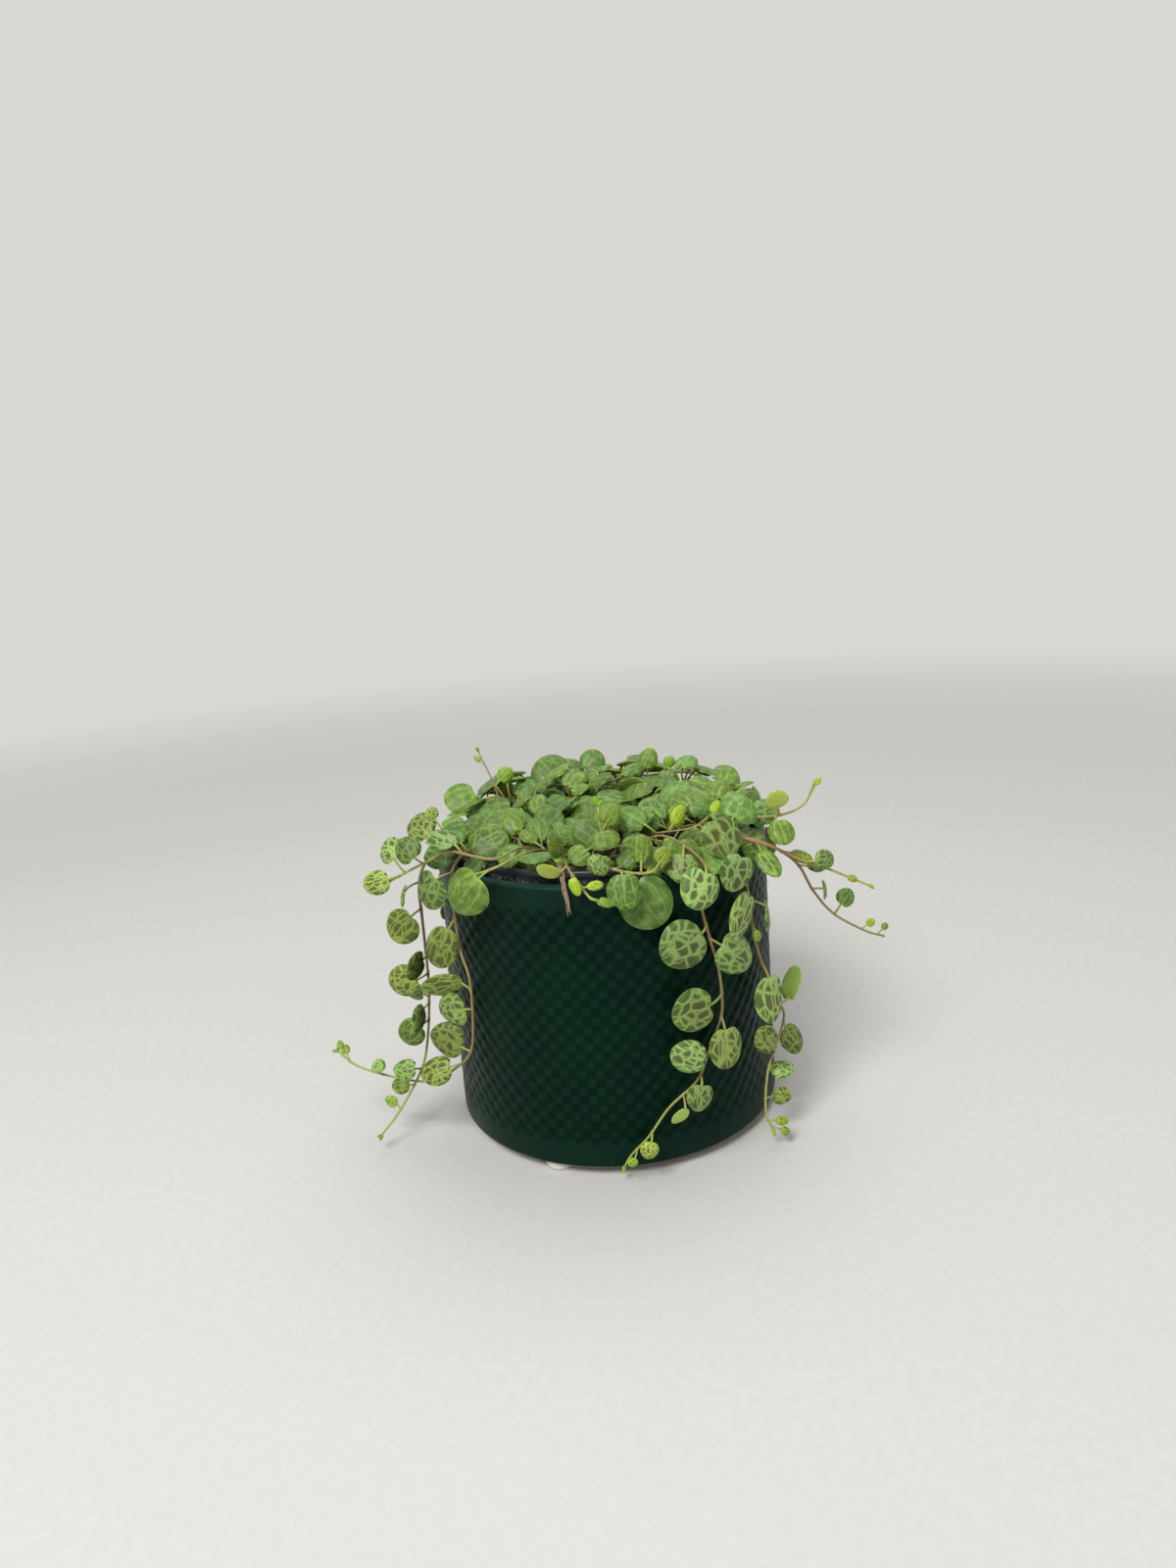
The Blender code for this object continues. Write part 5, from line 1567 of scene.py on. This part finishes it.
def make_leaves(stem, blade, fine_blade, finish, plant):
    """All blades of one stem, each bent a little differently and carrying its age and pattern."""
    chance = random.Random(stem.name)
    bm = bmesh.new()
    bold = BOLDNESS.get(stem.name, plant.boldness)
    for leaf in stem.leaves + tip_leaves(stem):
        first_vert, first_face = len(bm.verts), len(bm.faces)
        bm.from_mesh(fine_blade if leaf.width > FINE_BLADE * MM else blade)
        bm.verts.ensure_lookup_table()
        bm.faces.ensure_lookup_table()
        faces = bm.faces[first_face:]
        traits = bm.loops.layers.float_color[LEAF_TRAITS]
        age, boldness = leaf_traits(stem, leaf, bold, chance)
        seed = chance.random()
        for face in faces:
            under = 1.0 if face.calc_center_median().z < 0 else 0.0
            for loop in face.loops:
                loop[traits] = (age, seed, boldness, under)
        placed = blade_warp(leaf, chance, plant)
        for v in bm.verts[first_vert:]:
            v.co = placed(v.co)
    piece = piece_from(bm, f"{stem.name}_leaves", finish)
    mount_piece(piece, "leaves_and_stems", stem.name)


def leaf_traits(stem, leaf, bold, chance):
    """Age, from 0 for a lime-green new leaf to 1 for a dark old one, and how brown its patches are;
    the left vines' leaves count as older, which darkens them with painted shade.
    """
    share = leaf.station / len(stem.line)
    size = leaf.width / MM
    new, grown = NEW_TO_GROWN
    age = MATURE * min(1.0, max(0.0, (size - new) / (grown - new)))
    age *= 1.0 - NEW_GROWTH * max(0.0, share - NEW_GROWTH_START) / (1.0 - NEW_GROWTH_START)
    # Painted shade: leaves of the left vines count as older, so grown ones darken past full growth
    if stem.name in PAINTED_SHADE_STEMS:
        age /= MATURE
    if stem.name in YOUNG_STEMS:
        age *= YOUNG_SHARE
    if size > OLD_LEAF:
        return 1.0, chance.uniform(0.0, 0.1)
    middle = (leaf.base + leaf.tip) / 2
    if math.hypot(middle.x, middle.y) < MOUND_EDGE[0] * MM and middle.z > MOUND_EDGE[1] * MM:
        bold *= MOUND_BOLDNESS
    return age, min(1.0, max(0.0, bold + chance.uniform(-0.2, 0.2)))


def tip_leaves(stem):
    """Two tiny leaves that open at the growing tip."""
    end, along = stem.line[-1], stem.tangent(len(stem.line) - 1)
    side = along.cross(UP)
    side = side.normalized() if side.length > 0.1 else along.orthogonal().normalized()
    buds = []
    for way in (-1, 1):
        grow = (along + side * way * 0.7).normalized()
        face = (UP + side * way * 0.4).cross(grow).cross(grow) * -1
        base = end - along * 0.3 * MM
        tip = base + grow * BUD_LENGTH * MM
        buds.append(Leaf(len(stem.line) - 1, base, base, tip, face.normalized(), BUD_WIDTH * MM))
    return buds


def fill_mound(stems, solids, chance):
    """Small leaves low between the larger ones, where the mix would show."""
    for number in range(FILLER_LEAVES):
        azimuth = (number * GOLDEN_ANGLE) % 360 - 180
        radius = FILLER_RADIUS * math.sqrt((number + 0.5) / FILLER_LEAVES)
        near_bare = BARE_RIM[0] - FILLER_MARGIN < azimuth < BARE_RIM[1] + FILLER_MARGIN
        if near_bare and radius > BARE_RIM_RADIUS - FILLER_MARGIN:
            continue
        width = chance.choice(FILLER_WIDTHS)
        height = FILLER_HEIGHT + chance.uniform(-3, 4)
        length = width * chance.uniform(0.95, 1.15)
        facing, elevation = chance.uniform(-150, -30), chance.uniform(25, 70)
        spot = (azimuth, radius, height, width, length, facing, elevation)
        place_leaf(stems, spot, solids, chance, CROWN_TRIES)


def make_plant(plant):
    """Every stem and its leaves, laid out as the CAD nodes are, and fillers low in the mound."""
    solids = Clearance()
    scratch = [
        turned_mesh("cover", cover_pot_profile(), COVER_SEGMENTS),
        turned_mesh("nursery", nursery_pot_profile(), NURSERY_SEGMENTS),
        stalk_mesh(),
        soil_mesh(),
    ]
    trees = [solid_of(mesh, solids) for mesh in scratch]
    stems = grow_plant(trees[-1], solids)
    fill_mound(stems, solids, random.Random(GROWTH_SEED + 1))
    for mesh in scratch:
        bpy.data.meshes.remove(mesh)
    blade, fine_blade = blade_template(BLADE_GRID), blade_template(FINE_BLADE_GRID)
    leaf_look, stem_look = leaf_finish(plant), stem_finish(plant)
    for stem in stems:
        make_stem(stem, stem_look, REDNESS.get(stem.name, plant.redness))
        make_leaves(stem, blade, fine_blade, leaf_look, plant)
    for mesh in (blade, fine_blade):
        bpy.data.meshes.remove(mesh)


def make_stalk(plant):
    """The withered stalk: shrivelled fibres twisted together, parting near their end."""
    spine = smooth_line([polar(*spot) for spot in STALK_ROUTE])
    chance = random.Random(STALK_SEED)
    bm = tube_bmesh()
    for number in range(STALK_FIBRES):
        bunch = 1 if number % 2 else -1
        last = round(len(spine) * chance.uniform(0.86, 1.0)) - 1
        stations = [*range(0, last, STALK_FIBRE_STEP), last]
        phase = chance.uniform(0, 6.3)
        points, radii = [], []
        for station in stations:
            share = station / len(spine)
            point = spine[station]
            around = Vector((-point.y, point.x, 0)).normalized()
            turn = 2 * math.pi * number / STALK_FIBRES + STALK_TWIST * share
            spread = STALK_WIDTH * (0.3 - 0.19 * share)
            part = bunch * 0.4 * max(0.0, share - STALK_FRAY) / (1 - STALK_FRAY)
            wave = 0.12 * math.sin(19 * share + phase)
            sideways = spread * math.cos(turn) + part + wave
            offset = around * sideways + UP * 0.3 * spread * math.sin(turn)
            points.append(point + offset * MM)
            radii.append((0.4 - 0.28 * share**2) * (1 + 0.22 * math.sin(31 * share + phase)) * MM)
        lay_tube(bm, points, radii, [0.0] * len(points), 0.0)
    bmesh.ops.recalc_face_normals(bm, faces=bm.faces[:])
    piece = piece_from(bm, "withered_stalk_fibres", stalk_finish(plant))
    mount_piece(piece, "withered_stalk", "withered_stalk")


# Stage


def make_stage(stage):
    """Pale floor, soft lamps, a plain backdrop and the camera."""
    bm = bmesh.new()
    bmesh.ops.create_circle(bm, cap_ends=True, segments=96, radius=FLOOR_RADIUS)
    floor = piece_from(bm, "floor", floor_finish(stage))
    for name, place, size, power in (
        ("key_lamp", stage.key_place, stage.key_size, stage.key_power),
        ("fill_lamp", stage.fill_place, stage.fill_size, stage.fill_power),
        ("top_lamp", stage.top_place, stage.top_size, stage.top_power),
    ):
        lamp = bpy.data.lights.new(name, "AREA")
        lamp.size, lamp.energy = size, power
        holder = in_scene(name, lamp)
        holder.location = place
        aim = LAMP_AIM - Vector(place)
        holder.rotation_euler = aim.to_track_quat("-Z", "Y").to_euler()
    make_backdrop(stage)
    make_camera(stage)
    bpy.context.scene.view_settings.view_transform = "Standard"


def make_backdrop(stage):
    """A world that lights evenly; the camera, gloss and glass see the backdrop's colour instead."""
    world = bpy.data.worlds.new("studio")
    bpy.context.scene.world = world
    world.use_nodes = True
    tree = world.node_tree
    tree.nodes.clear()
    path = tree.nodes.new("ShaderNodeLightPath")
    seen = path.outputs["Is Camera Ray"]
    for kind in ("Is Glossy Ray", "Is Transmission Ray"):
        either = tree.nodes.new("ShaderNodeMath")
        either.operation, either.use_clamp = "ADD", True
        tree.links.new(seen, either.inputs[0])
        tree.links.new(path.outputs[kind], either.inputs[1])
        seen = either.outputs[0]
    light, shown = tree.nodes.new("ShaderNodeBackground"), tree.nodes.new("ShaderNodeBackground")
    light.inputs["Color"].default_value = (*stage.sky_colour, 1.0)
    light.inputs["Strength"].default_value = stage.sky_strength
    shown.inputs["Color"].default_value = (*stage.backdrop_colour, 1.0)
    blend, output = tree.nodes.new("ShaderNodeMixShader"), tree.nodes.new("ShaderNodeOutputWorld")
    tree.links.new(seen, blend.inputs[0])
    tree.links.new(light.outputs[0], blend.inputs[1])
    tree.links.new(shown.outputs[0], blend.inputs[2])
    tree.links.new(blend.outputs[0], output.inputs["Surface"])


def make_camera(stage):
    data = bpy.data.cameras.new("camera")
    data.lens, data.sensor_width = stage.lens, 36.0
    camera = in_scene("camera", data)
    turn = Matrix.Rotation(stage.camera_yaw, 3, "Z")
    tip = Matrix.Rotation(math.pi / 2 - stage.camera_down, 3, "X")
    roll = Matrix.Rotation(stage.camera_roll, 3, "Z")
    camera.location = stage.camera_place
    camera.rotation_euler = (turn @ tip @ roll).to_euler()
    bpy.context.scene.camera = camera


# Add-on


def colour_setting(name, description, default):
    return FloatVectorProperty(
        name=name, description=description, default=default, subtype="COLOR", size=3, min=0.0, max=1.0
    )


def length_setting(name, description, default):
    return FloatProperty(name=name, description=description, default=default, unit="LENGTH", min=0.0)


def share_setting(name, description, default):
    return FloatProperty(
        name=name, description=description, default=default, subtype="FACTOR", min=0.0, max=1.0
    )


def lamp_place(name, default):
    return FloatVectorProperty(
        name=name, description="Where the lamp hangs; it faces the plant", default=default,
        subtype="TRANSLATION", unit="LENGTH", size=3,
    )


def lamp_power(name, default):
    return FloatProperty(
        name=name, description="Radiant power of the lamp", default=default, unit="POWER", min=0.0
    )


class TURTLES_PG_pots(bpy.types.PropertyGroup):
    dimples_round: IntProperty(
        name="Dimples round", description="Dimples in one row round the cover pot", default=62, min=12
    )
    dimple_rows: IntProperty(
        name="Dimple rows", description="Rows of dimples, one above another", default=27, min=1
    )
    dimple_low: length_setting("Lowest dimples", "Height of the middle of the lowest row", 0.0125)
    dimple_row_pitch: length_setting(
        "Row pitch", "Height from one row of dimples to the next", 0.00305
    )
    dimple_depth: length_setting("Dimple depth", "Depth of one dimple", 0.0006)
    glaze_colour: colour_setting("Glaze", "Glaze on the cover pot's wall", (0.0016, 0.0135, 0.0062))
    glaze_deep_colour: colour_setting("Deep glaze", "Glaze where it pooled", (0.001, 0.0085, 0.004))
    # Thin glaze on ridges, and the painted highlight on the lip
    glaze_thin_and_lip_highlight_colour: colour_setting(
        "Thin glaze", "Glaze on ridges and the lip", (0.022, 0.055, 0.04)
    )
    clay_colour: colour_setting("Clay", "Bare clay at the cover pot's foot", (0.5, 0.46, 0.38))
    plastic_colour: colour_setting("Plastic", "The nursery pot", (0.014, 0.017, 0.023))
    plastic_dust_colour: colour_setting("Dust", "Dust and grime", (0.06, 0.058, 0.05))
    crust_colour: colour_setting(
        "Mineral crust", "White deposits round the nursery pot's rim", (0.5, 0.5, 0.46)
    )
    soil_colour: colour_setting(
        "Mix", "Drier crumbs of the potting mix", (0.075, 0.048, 0.028)
    )
    soil_dark_colour: colour_setting(
        "Damp mix", "Damp crumbs of the potting mix", (0.018, 0.012, 0.008)
    )
    bark_colour: colour_setting("Bark", "Bark chips and fibres", (0.17, 0.105, 0.055))
    perlite_colour: colour_setting("Perlite", "White beads in the mix", (0.72, 0.71, 0.66))
    perlite_shade_colour: colour_setting(
        "Stained perlite", "Beads stained by the mix", (0.4, 0.36, 0.28)
    )
    pad_colour: colour_setting("Foot pads", "The white pads under the cover pot", (0.72, 0.71, 0.67))


class TURTLES_PG_plant(bpy.types.PropertyGroup):
    leaf_thickness: length_setting(
        "Leaf thickness", "Thickness of a grown blade at its middle", 0.0013
    )
    leaf_droop: share_setting(
        "Leaf droop", "How far a blade's sides bend down, as a share of its width", 0.09
    )
    boldness: share_setting(
        "Pattern", "How brown the patches are on stems not listed one by one", 0.35
    )
    redness: share_setting(
        "Redness", "How red the stems not listed one by one are", 0.25
    )
    leaf_green: colour_setting("Green", "Patches between the veins", (0.15, 0.3, 0.036))
    leaf_deep_green: colour_setting(
        "Deep green", "Darker patches between the veins", (0.072, 0.15, 0.022)
    )
    # Pale bloom, with painted sheen and glints, on old, plain leaves
    leaf_bloom_and_sheen: colour_setting(
        "Bloom", "Pale haze and specks on old, plain leaves", (0.31, 0.45, 0.15)
    )
    leaf_patch: colour_setting(
        "Brown patches", "Hearts of the boldest patches", (0.108, 0.094, 0.034)
    )
    leaf_vein: colour_setting("Veins", "Pale veins of grown leaves", (0.37, 0.49, 0.15))
    leaf_margin: colour_setting("Margin", "Edge of the blade", (0.25, 0.38, 0.07))
    young_patch: colour_setting("Lime", "Young leaves between their veins", (0.22, 0.37, 0.014))
    young_vein: colour_setting("Young veins", "Veins of young leaves", (0.42, 0.57, 0.10))
    leaf_underside: colour_setting("Underside", "Lower face of the leaves", (0.36, 0.48, 0.10))
    stem_olive: colour_setting("Olive stem", "Greener old stems", (0.28, 0.235, 0.075))
    stem_red: colour_setting("Red stem", "Redder old stems", (0.36, 0.165, 0.075))
    stem_tip: colour_setting("Stem tip", "Growing ends and petioles", (0.38, 0.44, 0.08))
    stem_dark: colour_setting("Stem streaks", "Dark streaks on stems", (0.15, 0.10, 0.05))
    # Colour of the painted shade on stems low in the mound
    stem_shaded: colour_setting("Shaded stem", "Stems low in the mound", (0.085, 0.11, 0.03))
    stalk_pale: colour_setting("Withered", "Pale fibres of the withered stalk", (0.42, 0.31, 0.22))
    stalk_dark: colour_setting(
        "Withered creases", "Dark creases of the withered stalk", (0.12, 0.075, 0.048)
    )


class TURTLES_PG_stage(bpy.types.PropertyGroup):
    floor_colour: colour_setting("Floor", "The pale floor near the pot", (0.65, 0.64, 0.612))
    backdrop_colour: colour_setting("Backdrop", "Plain colour behind the plant", (0.70, 0.69, 0.655))
    sky_colour: colour_setting("Sky", "Colour of the even light", (1.0, 0.99, 0.97))
    sky_strength: FloatProperty(
        name="Sky strength", description="Brightness of the even light", default=0.26, min=0.0
    )
    floor_fade_start: length_setting(
        "Fade start", "Where the floor starts to run into the backdrop", 0.35
    )
    floor_fade_end: length_setting("Fade end", "Where only the backdrop's colour is left", 1.3)
    key_place: lamp_place("Key lamp", (-0.42, -0.85, 1.1))
    key_size: length_setting("Key size", "Width of the key lamp", 0.55)
    key_power: lamp_power("Key power", 16.5)
    fill_place: lamp_place("Fill lamp", (0.9, -0.6, 0.5))
    fill_size: length_setting("Fill size", "Width of the fill lamp", 0.9)
    fill_power: lamp_power("Fill power", 1.0)
    top_place: lamp_place("Top lamp", (0.1, 0.35, 1.2))
    top_size: length_setting("Top size", "Width of the top lamp", 1.0)
    top_power: lamp_power("Top power", 6.0)
    lens: FloatProperty(
        name="Lens", description="Focal length", default=24.97, unit="CAMERA", min=1.0
    )
    camera_place: FloatVectorProperty(
        name="Camera", description="Where the camera stands", default=(0.0, -0.369, 0.2086),
        subtype="TRANSLATION", unit="LENGTH", size=3,
    )
    camera_yaw: FloatProperty(
        name="Yaw", description="Turn to the left", default=math.radians(0.457), subtype="ANGLE"
    )
    camera_down: FloatProperty(
        name="Downward tilt", description="How far the camera looks down",
        default=math.radians(13.85), subtype="ANGLE",
    )
    camera_roll: FloatProperty(
        name="Roll", description="Turn about the line of sight", default=math.radians(-4.57),
        subtype="ANGLE",
    )


class TURTLES_OT_cover_pot(bpy.types.Operator):
    """Build the glazed cover pot with its rows of dimples"""

    bl_idname = "turtles.cover_pot"
    bl_label = "Cover pot"

    def execute(self, context):
        make_cover_pot(context.scene.turtle_pots)
        return {"FINISHED"}


class TURTLES_OT_nursery_pot(bpy.types.Operator):
    """Build the black nursery pot that stands in the cover pot"""

    bl_idname = "turtles.nursery_pot"
    bl_label = "Nursery pot"

    def execute(self, context):
        make_nursery_pot(context.scene.turtle_pots)
        return {"FINISHED"}


class TURTLES_OT_potting_mix(bpy.types.Operator):
    """Build the potting mix with its bark chips and perlite"""

    bl_idname = "turtles.potting_mix"
    bl_label = "Potting mix"

    def execute(self, context):
        make_potting_mix(context.scene.turtle_pots)
        return {"FINISHED"}


class TURTLES_OT_foot_pads(bpy.types.Operator):
    """Build the three pads under the cover pot"""

    bl_idname = "turtles.foot_pads"
    bl_label = "Foot pads"

    def execute(self, context):
        make_foot_pads(context.scene.turtle_pots)
        return {"FINISHED"}


class TURTLES_OT_vines(bpy.types.Operator):
    """Grow every stem with its petioles and patterned leaves"""

    bl_idname = "turtles.vines"
    bl_label = "Vines"

    def execute(self, context):
        make_plant(context.scene.turtle_plant)
        return {"FINISHED"}


class TURTLES_OT_withered_stalk(bpy.types.Operator):
    """Build the withered stalk over the front rim"""

    bl_idname = "turtles.withered_stalk"
    bl_label = "Withered stalk"

    def execute(self, context):
        make_stalk(context.scene.turtle_plant)
        return {"FINISHED"}


class TURTLES_OT_stage(bpy.types.Operator):
    """Set up the floor, the lamps, the backdrop and the camera"""

    bl_idname = "turtles.stage"
    bl_label = "Stage"

    def execute(self, context):
        make_stage(context.scene.turtle_stage)
        return {"FINISHED"}


OPERATORS = (
    TURTLES_OT_cover_pot, TURTLES_OT_nursery_pot, TURTLES_OT_potting_mix, TURTLES_OT_foot_pads,
    TURTLES_OT_vines, TURTLES_OT_withered_stalk, TURTLES_OT_stage,
)


class TURTLES_PT_panel(bpy.types.Panel):
    """Lists the pieces, the stage and their settings"""

    bl_idname = "TURTLES_PT_panel"
    bl_label = "Potted string of turtles"
    bl_space_type = "VIEW_3D"
    bl_region_type = "UI"
    bl_category = "Turtles"

    def draw(self, context):
        column = self.layout.column()
        for operator in OPERATORS:
            column.operator(operator.bl_idname)
        for group in SETTINGS:
            settings, box = getattr(context.scene, group), self.layout.box()
            for name in settings.__annotations__:
                box.prop(settings, name)


SETTINGS = {
    "turtle_pots": TURTLES_PG_pots,
    "turtle_plant": TURTLES_PG_plant,
    "turtle_stage": TURTLES_PG_stage,
}
CLASSES = (*SETTINGS.values(), *OPERATORS, TURTLES_PT_panel)


def register():
    for kind in CLASSES:
        bpy.utils.register_class(kind)
    for name, kind in SETTINGS.items():
        setattr(bpy.types.Scene, name, PointerProperty(type=kind))


def unregister():
    for name in SETTINGS:
        delattr(bpy.types.Scene, name)
    for kind in reversed(CLASSES):
        bpy.utils.unregister_class(kind)


def main():
    register()
    bpy.ops.turtles.cover_pot()
    bpy.ops.turtles.nursery_pot()
    bpy.ops.turtles.potting_mix()
    bpy.ops.turtles.foot_pads()
    bpy.ops.turtles.vines()
    bpy.ops.turtles.withered_stalk()
    bpy.ops.turtles.stage()


if __name__ == "__main__":
    main()
